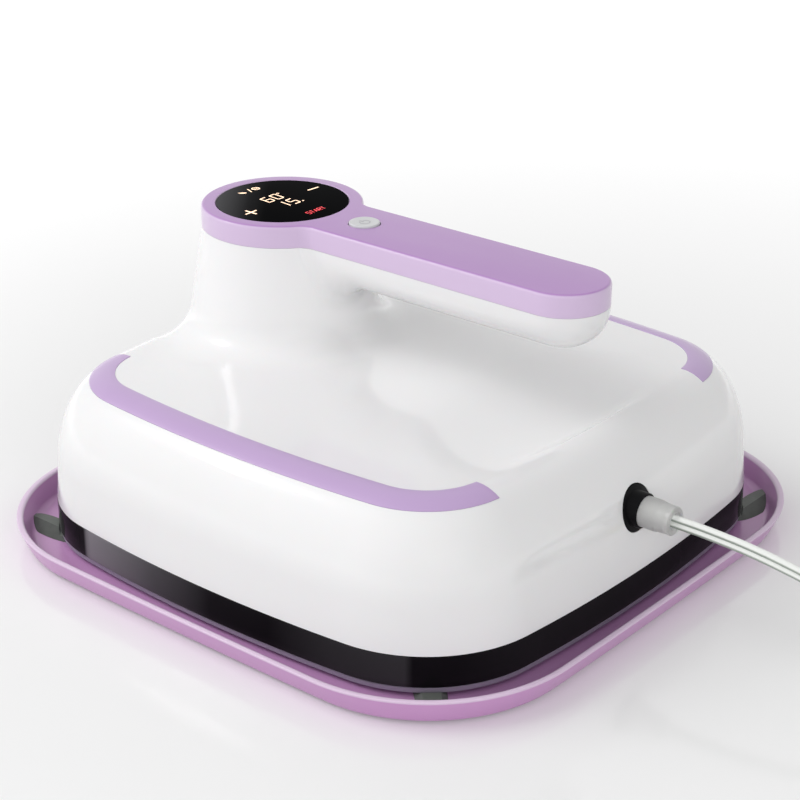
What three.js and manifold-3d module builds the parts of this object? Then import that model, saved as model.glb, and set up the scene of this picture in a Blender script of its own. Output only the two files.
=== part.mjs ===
// Hand-held flat heat press resting in its storage tray, in millimetres, +Z up.
// The user stands on the -Y side: the display column is at the back (+Y) and the
// handle reaches forward from it. The origin is on the table under the body's middle.

import * as THREE from 'three';
import { mergeVertices } from 'three/addons/utils/BufferGeometryUtils.js';
import Module from 'manifold-3d';

const wasm = await Module();
wasm.setup();

// General
const over = 2;
const gap = 0.3;
const weldDistance = 0.0001;
const quarter = Math.PI / 2;
const roundSteps = 28;
const smallSteps = 10;

// Plan outline of the body: four gently crowned sides and four round corners
const plateSide = 254;
const skirtOverhang = 4;
const bodySideRadius = 710;
const bodyCornerRadius = 57;
const bodySideSteps = 6;
const bodyCornerSteps = 8;
const innerSideSteps = 3;
const innerCornerSteps = 5;

// Heights of the stack, from the table up
const footProud = 1;
const trayFloor = 1.8;
const padSeat = 1.2;
const sealDrop = 0.2;
const sealHeight = 2.3;
const skirtHeight = 14;

// Tray
const trayRoom = 9;
const trayBaseRound = 7.5;
const trayFlare = 5.6;
const trayRimRound = 15.2;
const traySideRadius = 5200;
const trayHeight = 11.5;
const trayWall = 3;
const trayEdge = 0.7;
const trayFootEdge = 1.6;
const trayFillet = 2.4;
const trayFilletSteps = 3;
const traySideSteps = 2;
const trayCornerSteps = 9;

// Tray feet
const footRadius = 9;
const footThickness = 1.6;
const footInset = 42;

// Corner pads: leaves that lie along the corner's diagonal
const padLength = 38;
const padWidth = 24;
const padHeight = 5.4;
const padTaper = 3.4;
const padLean = 3;
const padTipInset = 2;
const padSteps = 7;
const padClearance = 0.8;

// Housing
const housingWall = 2.6;
const sideDraft = 0.09;
const shoulderStart = 38;
const shoulderWidth = 26;
const shoulderTop = 78.2;
const shoulderPower = 1.95;
const shoulderSteps = 8;
const crownHeight = 2;
const crownRun = 60;
const topSteps = 8;
const scoopDepth = 5.5;
const scoopWidth = 146;
const scoopLength = 98;
const scoopFromFront = 51;
const scoopFade = 18;
const scoopMargin = 18;

// Display column, blended into the housing's top by a wide fillet
const columnToBack = 59.2;
const columnTopRadius = 36.9;
const columnTaper = 0.14;
const filletReach = 22;
const filletRise = 18;
const filletSteps = 5;
const backMargin = 13;
const blendPower = 8;
const footLimitShare = 0.72;
const meridianShare = 0.45;

// Handle
const partingHeight = 128.5;
const coverHeight = 9.75;
const handleHalfWidth = 19.5;
const handleReach = 156.8;
const handleDepth = 18;
const handlePower = 2.25;
const handleEndPower = 2.3;
const handleEndShares = [0.985, 0.9, 0.72, 0.48, 0.24];
const handleSpanShares = [0, 0.35, 0.7];
const neckRadius = 9;
const rootRadius = 22;
const rootShares = [0, 0.22, 0.42, 0.6, 0.76, 0.88, 0.96];
const handleWall = 2.4;
const handleSectionSteps = 14;

// Handle cover
const coverWall = 2.2;
const coverRoof = 2;
const coverEdge = 1.6;
const coverEdgeSteps = 2;
const coverRingSteps = 32;
const coverEndSteps = 12;
const coverNeckSteps = 4;

// Display
const lensMargin = 6.9;
const lensThickness = 1.2;
const lensDome = 0.6;
const lensDomeSteps = 4;
const lensLedge = 2.6;
const boardThickness = 1.6;
const displayBoardClearance = 0.9;
const moduleLength = 30;
const moduleWidth = 26;
const ribThickness = 2.4;
const ribReach = 6;
const ribDepth = 14;
const ribCount = 4;

// Power button and its switch
const buttonRadius = 6.9;
const buttonSetback = 12.3;
const buttonProud = 0.8;
const buttonTravel = 0.8;
const buttonFlange = 1.2;
const buttonFlangeReach = 1.3;
const buttonStemRadius = 2;
const buttonEdge = 0.5;
const switchSide = 6.2;
const switchHeight = 3.5;
const plungerRadius = 1.7;
const plungerProud = 0.3;
const switchBoardLength = 24;
const switchBoardWidth = 22;

// Shoulder stripes, let into pockets in the housing
const stripeOuterInset = 17.6;
const stripeWidth = 11.4;
const stripeEnd = 73.3;
const stripeThickness = 0.9;
const stripeProud = 0.15;
const stripeSteps = 3;

// Skirt, seal and plate
const skirtWall = 3;
const skirtEdge = 0.8;
const shelfReach = 12;
const shelfThickness = 2;
const tongueHeight = 5;
const tongueThickness = 2;
const sealInset = 0.8;
const plateThickness = 7;
const plateEdge = 1;

// Heating stack above the plate
const elementRadius = 3.3;
const elementPitch = 44;
const elementRuns = 4;
const elementRunLength = 132;
const elementTailLength = 16;
const elementBendSteps = 6;
const elementSides = 8;
const insulationMargin = 3;
const insulationThickness = 2.2;
const shieldThickness = 0.8;
const shieldInset = 7;
const spacerRadius = 4.5;
const fixingInset = 32;
const screwHeadRadius = 3.6;
const screwHeadHeight = 2.2;
const screwRadius = 1.8;
const screwBite = 3.4;
const sensorLength = 14;
const sensorWidth = 8;
const sensorHeight = 3.2;
const fuseRadius = 2.2;
const fuseLength = 16;
const sensorSpacing = 44;

// Control board, hung from bosses under the housing's roof
const boardLength = 92;
const boardWidth = 58;
const boardHeight = 43;
const boardForward = 20;
const bossRadius = 3.8;
const bossMargin = 6;
const bossEmbed = 1.2;
const relayLength = 19;
const relayWidth = 15.5;
const relayHeight = 15.2;
const terminalLength = 22;
const terminalWidth = 10;
const terminalHeight = 11;
const sinkLength = 30;
const sinkHeight = 14;
const sinkThickness = 2;
const sinkFin = 9;
const componentMargin = 9;
const ribbonWidth = 14;
const ribbonThickness = 1;
const ribbonBend = 24;
const ribbonBendSteps = 6;
const ribbonLanding = 8;

// Cord port
const portHeight = 49.4;
const portOffset = -4;
const portRadius = 10.2;
const glandWall = 2.1;
const glandDepth = 13;
const glandFloor = 2;
const collarRadius = 7.3;
const collarLength = 20;
const sleeveRadius = 6.3;
const sleeveTipRadius = 5.6;
const sleeveReach = 17.3;
const sleeveEdge = 0.6;

// Cord: two round cores side by side, stacked upright
const cordWidth = 5.8;
const cordThickness = 3;
const cordFlatShare = 0.65;
const leadSides = 8;
const coilMeanRadius = 34;
const coilPitch = 3.6;
const coilLayerTurns = 3;
const coilClimbTurns = 0.5;
const coilClimbDip = 4.6;
const coilLayerGap = 0.7;
const coilSteps = 24;
const coilLeadIn = 12.8;
const tailLength = 30;
const tailSteps = 6;
const tieThickness = 0.8;
const tieWidth = 7;
// Route of the free stretch in the upright plane of the port: forward and up
const leadRoute = [
  [148.6, 49.4], [158, 49.4], [168, 49.1], [178, 48.6], [188, 47.7], [198, 46.4],
  [208, 44.8], [217, 42.2], [226, 37.3], [234.2, 30.7], [241.6, 24], [249, 17.5],
  [256.2, 11.9], [263.4, 7.8], [270.4, 5.2], [276.8, 4.3], [283, 4.3],
];

// Plug
const plugWidth = 24;
const plugThickness = 15.6;
const plugLength = 30;
const plugCorner = 5;
const plugCornerSteps = 3;
const plugNeckLength = 16;
const plugNeckWidth = 8.4;
const plugNeckCorner = 2;
const plugEdge = 1.4;
const bladeLength = 17;
const bladeWidth = 6.2;
const bladeThickness = 1.5;
const bladeSpacing = 12.7;

// Derived heights and places
const bodyHalf = plateSide / 2 + skirtOverhang;
const trayBaseHalf = bodyHalf + trayRoom;
const trayBaseCornerRadius = bodyCornerRadius + trayBaseRound;
const trayRimCornerRadius = bodyCornerRadius + trayRimRound;
const trayTop = footProud + trayFloor;
const rimTop = footProud + trayHeight;
const plateBottom = trayTop + padSeat + gap;
const plateTop = plateBottom + plateThickness;
const sealBottom = plateBottom + sealDrop;
const sealTop = sealBottom + sealHeight;
const skirtBottom = sealTop + gap;
const skirtTop = skirtBottom + skirtHeight;
const housingBottom = skirtTop + gap;
const housingTop = partingHeight - gap / 2;
const coverBottom = partingHeight + gap / 2;
const coverTop = coverBottom + coverHeight;
const coverCeiling = coverTop - coverRoof;
const columnY = bodyHalf - columnToBack;
const handleEndY = columnY - handleReach;
const handleRootY = columnY - columnTopRadius - rootRadius;
const buttonY = columnY - columnTopRadius - buttonSetback;
const sideInset = sideDraft * (shoulderStart - housingBottom);
const insulationBottom = plateTop + gap + elementRadius * 2 + gap;
const insulationTop = insulationBottom + insulationThickness;
const shieldBottom = skirtTop + gap;
const shieldTop = shieldBottom + shieldThickness;
const electronicsTop = coverBottom + gap;
const electronicsBottom = electronicsTop - boardThickness;
const lensRadius = columnTopRadius - lensMargin;
const lensBottom = coverTop - lensThickness;
const displayBoardRadius = columnTopRadius - housingWall - displayBoardClearance;
const coilBottom = gap + tieThickness + gap;
const lowLayer = coilBottom + cordWidth / 2;
const highLayer = lowLayer + cordWidth + coilLayerGap;
const coilOuterRadius = coilMeanRadius + (coilPitch * coilLayerTurns) / 2;
const sleeveEnd = bodyHalf + sleeveReach;
const leadEnd = leadRoute[leadRoute.length - 1];
const coilX = portOffset + coilOuterRadius;
const coilY = -leadEnd[0] - gap - coilLeadIn;
const plugZ = gap + plugThickness / 2;
const plugX = coilX + coilOuterRadius;
const plugY = coilY + tailLength + gap;

const looks = {
  white: { color: 0xf2f1f2, roughness: 0.22, metalness: 0 },
  lilac: { color: 0xbd96cf, roughness: 0.3, metalness: 0 },
  tray: { color: 0xc99ccb, roughness: 0.35, metalness: 0 },
  black: { color: 0x141217, roughness: 0.12, metalness: 0 },
  grey: { color: 0x9c96a3, roughness: 0.5, metalness: 0 },
  pad: { color: 0x474a46, roughness: 0.75, metalness: 0 },
  rubber: { color: 0x2b2b2d, roughness: 0.8, metalness: 0 },
  clear: { color: 0xd8d8d6, roughness: 0.35, metalness: 0 },
  cord: { color: 0xf0f2ef, roughness: 0.35, metalness: 0 },
  coating: { color: 0x2f2f33, roughness: 0.45, metalness: 0.4 },
  steel: { color: 0xb4b6ba, roughness: 0.35, metalness: 1 },
  brass: { color: 0xc7a24f, roughness: 0.35, metalness: 1 },
  board: { color: 0x1f5a3a, roughness: 0.5, metalness: 0 },
  felt: { color: 0xdedad0, roughness: 0.95, metalness: 0 },
};

// Solids

function manifoldOf(positions, triangles) {
  const mesh = new wasm.Mesh({
    numProp: 3,
    vertProperties: new Float32Array(positions),
    triVerts: new Uint32Array(triangles),
  });
  return new wasm.Manifold(mesh);
}

function toSolid(geometry) {
  const bare = geometry.index ? geometry.toNonIndexed() : geometry.clone();
  bare.deleteAttribute('normal');
  bare.deleteAttribute('uv');
  const merged = mergeVertices(bare, weldDistance);
  const index = merged.index.array;
  const triangles = [];
  for (let i = 0; i < index.length; i += 3) {
    const [a, b, c] = [index[i], index[i + 1], index[i + 2]];
    if (a !== b && b !== c && c !== a) triangles.push(a, b, c);
  }
  const positions = merged.attributes.position.array;
  const solid = manifoldOf(positions, triangles);
  if (solid.volume() > 0) return solid;
  const turned = [];
  for (let i = 0; i < triangles.length; i += 3) {
    turned.push(triangles[i], triangles[i + 2], triangles[i + 1]);
  }
  return manifoldOf(positions, turned);
}

function toGeometry(solid) {
  const mesh = solid.getMesh();
  const geometry = new THREE.BufferGeometry();
  const positions = new Float32Array(mesh.vertProperties);
  geometry.setAttribute('position', new THREE.BufferAttribute(positions, 3));
  geometry.setIndex(new THREE.BufferAttribute(new Uint32Array(mesh.triVerts), 1));
  geometry.computeVertexNormals();
  return geometry;
}

// A solid through rings that have the same number of points and turn the same way.
// The end rings are filled from their middle, or the last ring joins the first.
function loftSolid(rings, joined = false) {
  const count = rings[0].length;
  const positions = [];
  for (const ring of rings) {
    for (const point of ring) positions.push(point.x, point.y, point.z);
  }
  const triangles = [];
  const spans = joined ? rings.length : rings.length - 1;
  for (let k = 0; k < spans; k += 1) {
    const next = (k + 1) % rings.length;
    for (let j = 0; j < count; j += 1) {
      const turn = (j + 1) % count;
      const [a, b] = [k * count + j, k * count + turn];
      const [c, d] = [next * count + turn, next * count + j];
      triangles.push(a, b, c, a, c, d);
    }
  }
  if (!joined) {
    for (const k of [0, rings.length - 1]) {
      const middle = new THREE.Vector3();
      for (const point of rings[k]) middle.add(point);
      middle.divideScalar(count);
      const hub = positions.length / 3;
      positions.push(middle.x, middle.y, middle.z);
      for (let j = 0; j < count; j += 1) {
        const [a, b] = [k * count + j, k * count + ((j + 1) % count)];
        if (k === 0) triangles.push(hub, b, a);
        else triangles.push(hub, a, b);
      }
    }
  }
  const geometry = new THREE.BufferGeometry();
  geometry.setAttribute('position', new THREE.Float32BufferAttribute(positions, 3));
  geometry.setIndex(triangles);
  return toSolid(geometry);
}

function lathe(profile, steps = roundSteps) {
  const geometry = new THREE.LatheGeometry(profile.map(([r, z]) => new THREE.Vector2(r, z)), steps);
  return toSolid(geometry.rotateX(quarter));
}

function disc(radius, low, high, steps = roundSteps) {
  return lathe([[0, low], [radius, low], [radius, high], [0, high]], steps);
}

function tube(outer, inner, low, high, steps = roundSteps) {
  return lathe([[inner, low], [outer, low], [outer, high], [inner, high], [inner, low]], steps);
}

// A box given by its low and high corner
function box(low, high) {
  const size = high.map((value, i) => value - low[i]);
  const middle = high.map((value, i) => (value + low[i]) / 2);
  return toSolid(new THREE.BoxGeometry(...size).translate(...middle));
}

function at(solid, x, y, z) {
  return toSolid(toGeometry(solid).translate(x, y, z));
}

function mesh(name, solid, look) {
  const item = new THREE.Mesh(toGeometry(solid), new THREE.MeshStandardMaterial(looks[look]));
  item.name = name;
  return item;
}

// Plan outlines

// A square with crowned sides: each side turns about a far centre and each corner
// about its own, so that an inset only shortens the radii.
function crownedSquare(half, sideRadius, cornerRadius) {
  const sideCentre = sideRadius - half;
  const reach = sideRadius - cornerRadius;
  const cornerCentre = (Math.sqrt(2 * reach * reach - sideCentre * sideCentre) - sideCentre) / 2;
  const split = Math.atan2(cornerCentre, cornerCentre + sideCentre);
  return { sideRadius, cornerRadius, sideCentre, cornerCentre, split };
}

function outlinePoint(arcs, inset, turn, share, onCorner) {
  const start = onCorner ? arcs.split : -arcs.split;
  const end = onCorner ? quarter - arcs.split : arcs.split;
  const angle = THREE.MathUtils.lerp(start, end, share);
  const radius = (onCorner ? arcs.cornerRadius : arcs.sideRadius) - inset;
  const centreX = onCorner ? arcs.cornerCentre : -arcs.sideCentre;
  const centreY = onCorner ? arcs.cornerCentre : 0;
  const point = new THREE.Vector2(
    centreX + radius * Math.cos(angle),
    centreY + radius * Math.sin(angle),
  );
  return point.rotateAround(new THREE.Vector2(), turn * quarter);
}

function outline(arcs, insetAt, sideSteps, cornerSteps) {
  const points = [];
  const push = (turn, share, onCorner) => {
    const inset = typeof insetAt === 'function' ? insetAt(points.length) : insetAt;
    points.push(outlinePoint(arcs, inset, turn, share, onCorner));
  };
  for (let turn = 0; turn < 4; turn += 1) {
    for (let i = 0; i < sideSteps; i += 1) push(turn, i / sideSteps, false);
    for (let i = 0; i < cornerSteps; i += 1) push(turn, i / cornerSteps, true);
  }
  return points;
}

function level(points, z) {
  return points.map((p) => new THREE.Vector3(p.x, p.y, z));
}

function insetOf(arcs, x, y) {
  const ax = Math.abs(x);
  const ay = Math.abs(y);
  const angle = Math.atan2(ay - arcs.cornerCentre, ax - arcs.cornerCentre);
  if (angle > arcs.split && angle < quarter - arcs.split) {
    return arcs.cornerRadius - Math.hypot(ax - arcs.cornerCentre, ay - arcs.cornerCentre);
  }
  const fromX = arcs.sideRadius - Math.hypot(ax + arcs.sideCentre, ay);
  const fromY = arcs.sideRadius - Math.hypot(ax, ay + arcs.sideCentre);
  return Math.min(fromX, fromY);
}

const bodyArcs = crownedSquare(bodyHalf, bodySideRadius, bodyCornerRadius);

function bodyRing(inset, z) {
  return level(outline(bodyArcs, inset, bodySideSteps, bodyCornerSteps), z);
}

function innerRing(inset, z) {
  return level(outline(bodyArcs, inset, innerSideSteps, innerCornerSteps), z);
}

// A ring band between two insets, with the same outline as the body
function band(outer, inner, low, high) {
  return loftSolid([
    bodyRing(outer, low), bodyRing(outer, high), bodyRing(inner, high), bodyRing(inner, low),
  ], true);
}

// Housing surface

function shoulderZ(inset) {
  const share = THREE.MathUtils.clamp((inset - sideInset) / shoulderWidth, 0, 1);
  const rise = (1 - (1 - share) ** shoulderPower) ** (1 / shoulderPower);
  return THREE.MathUtils.lerp(shoulderStart, shoulderTop, rise);
}

function roofZ(x, y) {
  const inset = insetOf(bodyArcs, x, y);
  const crown = THREE.MathUtils.smoothstep(inset - sideInset - shoulderWidth, 0, crownRun);
  const across = x / (scoopWidth / 2);
  const along = (y + bodyHalf - scoopFromFront) / (scoopLength / 2);
  const dish = Math.max(0, 1 - across * across - along * along) ** 2;
  const fade = THREE.MathUtils.smoothstep(inset - scoopMargin, 0, scoopFade);
  return shoulderZ(inset) + crownHeight * crown - scoopDepth * dish * fade;
}

function coneRadius(z) {
  return columnTopRadius + columnTaper * (housingTop - z);
}

// How far the body's edge lies from the column's axis in one direction
function edgeDistance(angle) {
  let [near, far] = [0, bodySideRadius];
  while (far - near > weldDistance) {
    const middle = (near + far) / 2;
    const x = middle * Math.cos(angle);
    const y = columnY + middle * Math.sin(angle);
    if (insetOf(bodyArcs, x, y) > 0) near = middle;
    else far = middle;
  }
  return near;
}

// Meridians run from the body's edge over the shoulder and roof up to the column. Where
// the back edge is near the column, they leave the shoulder early.
function meridians(sideSteps, cornerSteps) {
  const hub = new THREE.Vector2(0, columnY * meridianShare);
  const wide = coneRadius(shoulderTop) + filletReach;
  return outline(bodyArcs, 0, sideSteps, cornerSteps).map((point) => {
    const angle = Math.atan2(point.y - hub.y, point.x - hub.x);
    const room = edgeDistance(angle) - backMargin;
    const foot = wide * (1 + (wide / room) ** blendPower) ** (-1 / blendPower);
    const x = foot * Math.cos(angle);
    const y = columnY + foot * Math.sin(angle);
    const limit = footLimitShare * insetOf(bodyArcs, x, y) - sideInset;
    const width = shoulderWidth * (1 + (shoulderWidth / limit) ** blendPower) ** (-1 / blendPower);
    return { angle, foot, x, y, width };
  });
}

function onMeridian(meridian, radius, z) {
  const x = radius * Math.cos(meridian.angle);
  const y = columnY + radius * Math.sin(meridian.angle);
  return new THREE.Vector3(x, y, z);
}

// Rings of the housing's outer surface from the skirt to the parting plane
function housingRings(sideSteps, cornerSteps, shoulderCount, topCount, filletCount) {
  const lines = meridians(sideSteps, cornerSteps);
  const rings = [level(outline(bodyArcs, 0, sideSteps, cornerSteps), housingBottom)];
  for (let i = 0; i <= shoulderCount; i += 1) {
    const share = 1 - Math.cos((quarter * i) / shoulderCount) ** (2 / shoulderPower);
    const insetAt = (j) => sideInset + lines[j].width * share;
    const plan = outline(bodyArcs, insetAt, sideSteps, cornerSteps);
    rings.push(plan.map((p, j) => new THREE.Vector3(p.x, p.y, shoulderZ(insetAt(j)))));
  }
  const edge = rings[rings.length - 1];
  for (let i = 1; i <= topCount; i += 1) {
    rings.push(lines.map((line, j) => {
      const x = THREE.MathUtils.lerp(edge[j].x, line.x, i / topCount);
      const y = THREE.MathUtils.lerp(edge[j].y, line.y, i / topCount);
      return new THREE.Vector3(x, y, roofZ(x, y));
    }));
  }
  for (let i = 1; i <= filletCount; i += 1) {
    rings.push(lines.map((line) => {
      const bend = onMeridian(line, coneRadius(shoulderTop), 0);
      bend.z = roofZ(bend.x, bend.y);
      const start = new THREE.Vector3(line.x, line.y, roofZ(line.x, line.y));
      const endZ = bend.z + filletRise;
      const end = onMeridian(line, coneRadius(endZ), endZ);
      return new THREE.QuadraticBezierCurve3(start, bend, end).getPoint(i / filletCount);
    }));
  }
  rings.push(lines.map((line) => onMeridian(line, columnTopRadius, housingTop)));
  return rings;
}

// The same rings moved inward by the wall, each point along its own surface normal,
// and drawn out past both openings
function inwardRings(rings, wall) {
  const count = rings[0].length;
  const moved = rings.map((ring, k) => ring.map((point, j) => {
    const along = ring[(j + 1) % count].clone().sub(ring[(j + count - 1) % count]);
    const above = rings[Math.min(k + 1, rings.length - 1)][j];
    const below = rings[Math.max(k - 1, 0)][j];
    const normal = along.cross(above.clone().sub(below)).normalize();
    return point.clone().addScaledVector(normal, -wall);
  }));
  const first = moved[0].map((p) => new THREE.Vector3(p.x, p.y, housingBottom - over));
  const last = moved[moved.length - 1].map((p) => new THREE.Vector3(p.x, p.y, housingTop + over));
  return [first, ...moved.slice(1, -1), last];
}

// Handle and cover

function neckPlace(inset) {
  const half = handleHalfWidth - inset;
  const neck = neckRadius + inset;
  const x = half + neck;
  const y = columnY - Math.sqrt((columnTopRadius - inset + neck) ** 2 - x * x);
  return { half, neck, x, y };
}

function handleHalfAt(y, inset) {
  const { half, neck, x, y: neckY } = neckPlace(inset);
  if (y < handleEndY) return Math.sqrt(Math.max(half * half - (y - handleEndY) ** 2, 0));
  const reach = columnTopRadius - inset + neck;
  const limit = ((columnY - neckY) * neck) / reach;
  const rise = Math.min(Math.max(y - neckY, 0), limit);
  return x - Math.sqrt(neck * neck - rise * rise);
}

// The underside drops into the column's front in a quarter circle
function handleDepthAt(y, inset) {
  const depth = handleDepth - inset;
  if (y < handleEndY) {
    const share = (handleEndY - y) / (handleHalfWidth - inset);
    return depth * (1 - share ** handleEndPower) ** (1 / handleEndPower);
  }
  const run = Math.min(Math.max(y - handleRootY, 0), rootRadius * rootShares[rootShares.length - 1]);
  return depth + rootRadius - Math.sqrt(rootRadius * rootRadius - run * run);
}

function handleSection(y, inset, top) {
  const half = handleHalfAt(y, inset);
  const depth = handleDepthAt(y, inset);
  const points = [new THREE.Vector3(half, y, top)];
  for (let i = 0; i <= handleSectionSteps; i += 1) {
    const angle = (Math.PI * i) / handleSectionSteps;
    const side = Math.sign(Math.cos(angle)) * Math.abs(Math.cos(angle)) ** (2 / handlePower);
    const drop = Math.abs(Math.sin(angle)) ** (2 / handlePower);
    points.push(new THREE.Vector3(half * side, y, housingTop - depth * drop));
  }
  points.push(new THREE.Vector3(-half, y, top));
  return top > housingTop ? points : points.slice(1, -1);
}

function handleSolid(inset, top) {
  const places = [];
  for (const share of handleEndShares) places.push(handleEndY - (handleHalfWidth - inset) * share);
  const span = handleRootY - handleEndY;
  for (const share of handleSpanShares) places.push(handleEndY + span * share);
  for (const share of rootShares) places.push(handleRootY + rootRadius * share);
  places.push(neckPlace(inset).y + neckRadius, columnY);
  places.sort((a, b) => a - b);
  return loftSolid(places.map((y) => handleSection(y, inset, top)));
}

// A circle round the display, two hollow neck arcs and a round end
function coverOutline(inset) {
  const { half, neck, x, y } = neckPlace(inset);
  const open = Math.atan2(columnY - y, x);
  const arcs = [
    [0, columnY, columnTopRadius - inset, -open, Math.PI + open, coverRingSteps],
    [-x, y, neck, open, 0, coverNeckSteps],
    [0, handleEndY, half, Math.PI, Math.PI * 2, coverEndSteps],
    [x, y, neck, Math.PI, Math.PI - open, coverNeckSteps],
  ];
  const points = [];
  for (const [cx, cy, radius, start, end, steps] of arcs) {
    const last = radius === half ? steps : steps - 1;
    for (let i = 0; i <= last; i += 1) {
      const angle = THREE.MathUtils.lerp(start, end, i / steps);
      points.push(new THREE.Vector2(cx + radius * Math.cos(angle), cy + radius * Math.sin(angle)));
    }
  }
  return points;
}

// A solid through level rings whose ends are filled as plane shapes
function capByShape(rings) {
  const count = rings[0].length;
  const positions = rings.flat().flatMap((p) => [p.x, p.y, p.z]);
  const triangles = [];
  for (let k = 0; k < rings.length - 1; k += 1) {
    for (let j = 0; j < count; j += 1) {
      const [a, b] = [k * count + j, k * count + ((j + 1) % count)];
      triangles.push(a, b, b + count, a, b + count, a + count);
    }
  }
  const last = (rings.length - 1) * count;
  for (const [start, turned] of [[0, true], [last, false]]) {
    const flat = rings[start / count].map((p) => new THREE.Vector2(p.x, p.y));
    for (const [a, b, c] of THREE.ShapeUtils.triangulateShape(flat, [])) {
      if (turned) triangles.push(start + a, start + c, start + b);
      else triangles.push(start + a, start + b, start + c);
    }
  }
  const geometry = new THREE.BufferGeometry();
  geometry.setAttribute('position', new THREE.Float32BufferAttribute(positions, 3));
  geometry.setIndex(triangles);
  return toSolid(geometry);
}

function coverSolid() {
  const rings = [level(coverOutline(0), coverBottom)];
  for (let i = 0; i <= coverEdgeSteps; i += 1) {
    const angle = (quarter * i) / coverEdgeSteps;
    const inset = coverEdge * (1 - Math.cos(angle));
    rings.push(level(coverOutline(inset), coverTop - coverEdge * (1 - Math.sin(angle))));
  }
  const hollow = coverOutline(coverWall);
  const lensHole = lensRadius - lensLedge;
  return capByShape(rings)
    .subtract(capByShape([level(hollow, coverBottom - over), level(hollow, coverCeiling)]))
    .subtract(at(disc(lensRadius + gap, lensBottom - gap, coverTop + over), 0, columnY, 0))
    .subtract(at(disc(lensHole, coverCeiling - over, coverTop), 0, columnY, 0))
    .subtract(at(disc(buttonRadius + gap, coverCeiling - over, coverTop + over), 0, buttonY, 0));
}

// Shoulder stripes

function stripeRing(clearance, up, down) {
  const low = stripeOuterInset - clearance;
  const high = stripeOuterInset + stripeWidth + clearance;
  const [tops, bottoms] = [[], []];
  for (let i = 0; i <= stripeSteps; i += 1) {
    const inset = THREE.MathUtils.lerp(low, high, i / stripeSteps);
    const rise = shoulderZ(inset + weldDistance) - shoulderZ(inset - weldDistance);
    const slope = rise / (2 * weldDistance);
    const tilt = Math.hypot(1, slope);
    tops.push(bodyRing(inset - (up * slope) / tilt, shoulderZ(inset) + up / tilt));
    bottoms.push(bodyRing(inset + (down * slope) / tilt, shoulderZ(inset) - down / tilt));
  }
  const loop = [...tops, ...bottoms.reverse()];
  const sections = loop[0].map((_, j) => loop.map((ring) => ring[j]));
  return loftSolid(sections, true);
}

// side is +1 for the right stripe and -1 for the left one
function stripeSolid(side, clearance, up, down) {
  const inner = stripeEnd - clearance;
  const outer = bodyHalf + over;
  const [low, high] = side > 0 ? [inner, outer] : [-outer, -inner];
  const half = box([low, -outer, shoulderStart], [high, outer, shoulderTop + over + over]);
  return stripeRing(clearance, up, down).intersect(half);
}

// Housing with its pockets, port, bosses and ribs

const outerBody = loftSolid(
  housingRings(bodySideSteps, bodyCornerSteps, shoulderSteps, topSteps, filletSteps),
);
const innerSurface = housingRings(
  innerSideSteps, innerCornerSteps, shoulderSteps / 2, topSteps / 2, filletSteps - 2,
);
const innerBody = loftSolid(inwardRings(innerSurface, housingWall));
const handleOuter = handleSolid(0, housingTop);
const handleHollow = handleSolid(handleWall, housingTop + over);

// A lathe about +Z laid along -Y through the port
function alongY(solid) {
  return toSolid(toGeometry(solid).rotateX(quarter).translate(portOffset, 0, portHeight));
}

const boardY = -boardForward;
const boardCorners = [];
for (const x of [-1, 1]) {
  for (const y of [-1, 1]) {
    boardCorners.push([
      x * (boardLength / 2 - bossMargin),
      boardY + y * (boardWidth / 2 - bossMargin),
    ]);
  }
}
const bossBottom = boardHeight + boardThickness + gap;

const rebate = loftSolid([
  bodyRing(housingWall, housingBottom - over),
  bodyRing(housingWall, housingBottom + tongueHeight + gap),
]);

let housing = outerBody.add(handleOuter).subtract(innerBody).subtract(handleHollow).subtract(rebate);
for (const [x, y] of boardCorners) {
  const bossTop = roofZ(x, y) - housingWall + bossEmbed;
  const bore = disc(screwRadius + gap, bossBottom - over, bossBottom + screwBite + gap, smallSteps);
  const boss = disc(bossRadius, bossBottom, bossTop, smallSteps).subtract(bore);
  housing = housing.add(at(boss, x, y, 0));
}
const ribTop = electronicsBottom - gap;
const ribInner = columnTopRadius - housingWall - ribReach;
for (let i = 0; i < ribCount; i += 1) {
  const rib = new THREE.BoxGeometry(ribReach + housingWall, ribThickness, ribDepth);
  rib.translate(ribInner + (ribReach + housingWall) / 2, 0, ribTop - ribDepth / 2);
  rib.rotateZ(quarter * (i + 1 / 2)).translate(0, columnY, 0);
  housing = housing.add(toSolid(rib));
}
for (const side of [-1, 1]) {
  const middle = buttonY + side * (switchBoardLength / 2 - ribThickness);
  const wide = handleHalfWidth + over;
  const low = [-wide, middle - ribThickness / 2, ribTop - handleDepth];
  const slice = box(low, [wide, middle + ribThickness / 2, ribTop]);
  housing = housing.add(handleSolid(handleWall / 2, housingTop + over).intersect(slice));
}
for (const side of [-1, 1]) {
  housing = housing.subtract(stripeSolid(side, gap, over, stripeThickness - stripeProud + gap));
}
housing = housing.subtract(alongY(disc(portRadius, bodyHalf - glandDepth - over, bodyHalf + over)));

// Tray

function trayArcs(z) {
  const share = (z - footProud) / trayHeight;
  return crownedSquare(
    trayBaseHalf + trayFlare * share,
    traySideRadius,
    THREE.MathUtils.lerp(trayBaseCornerRadius, trayRimCornerRadius, share),
  );
}

function trayRing(z, inset) {
  return level(outline(trayArcs(z), inset, traySideSteps, trayCornerSteps), z);
}

function trayHollow(clearance) {
  const wall = trayWall + clearance;
  const rings = [];
  for (let i = 0; i <= trayFilletSteps; i += 1) {
    const angle = (quarter * i) / trayFilletSteps;
    const z = trayTop + trayFillet * (1 - Math.cos(angle));
    rings.push(trayRing(z, wall + trayFillet * (1 - Math.sin(angle))));
  }
  rings.push(trayRing(rimTop - trayEdge, wall));
  rings.push(trayRing(rimTop, wall - trayEdge));
  rings.push(level(trayRing(rimTop, wall - trayEdge), rimTop + over));
  return loftSolid(rings);
}

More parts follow.
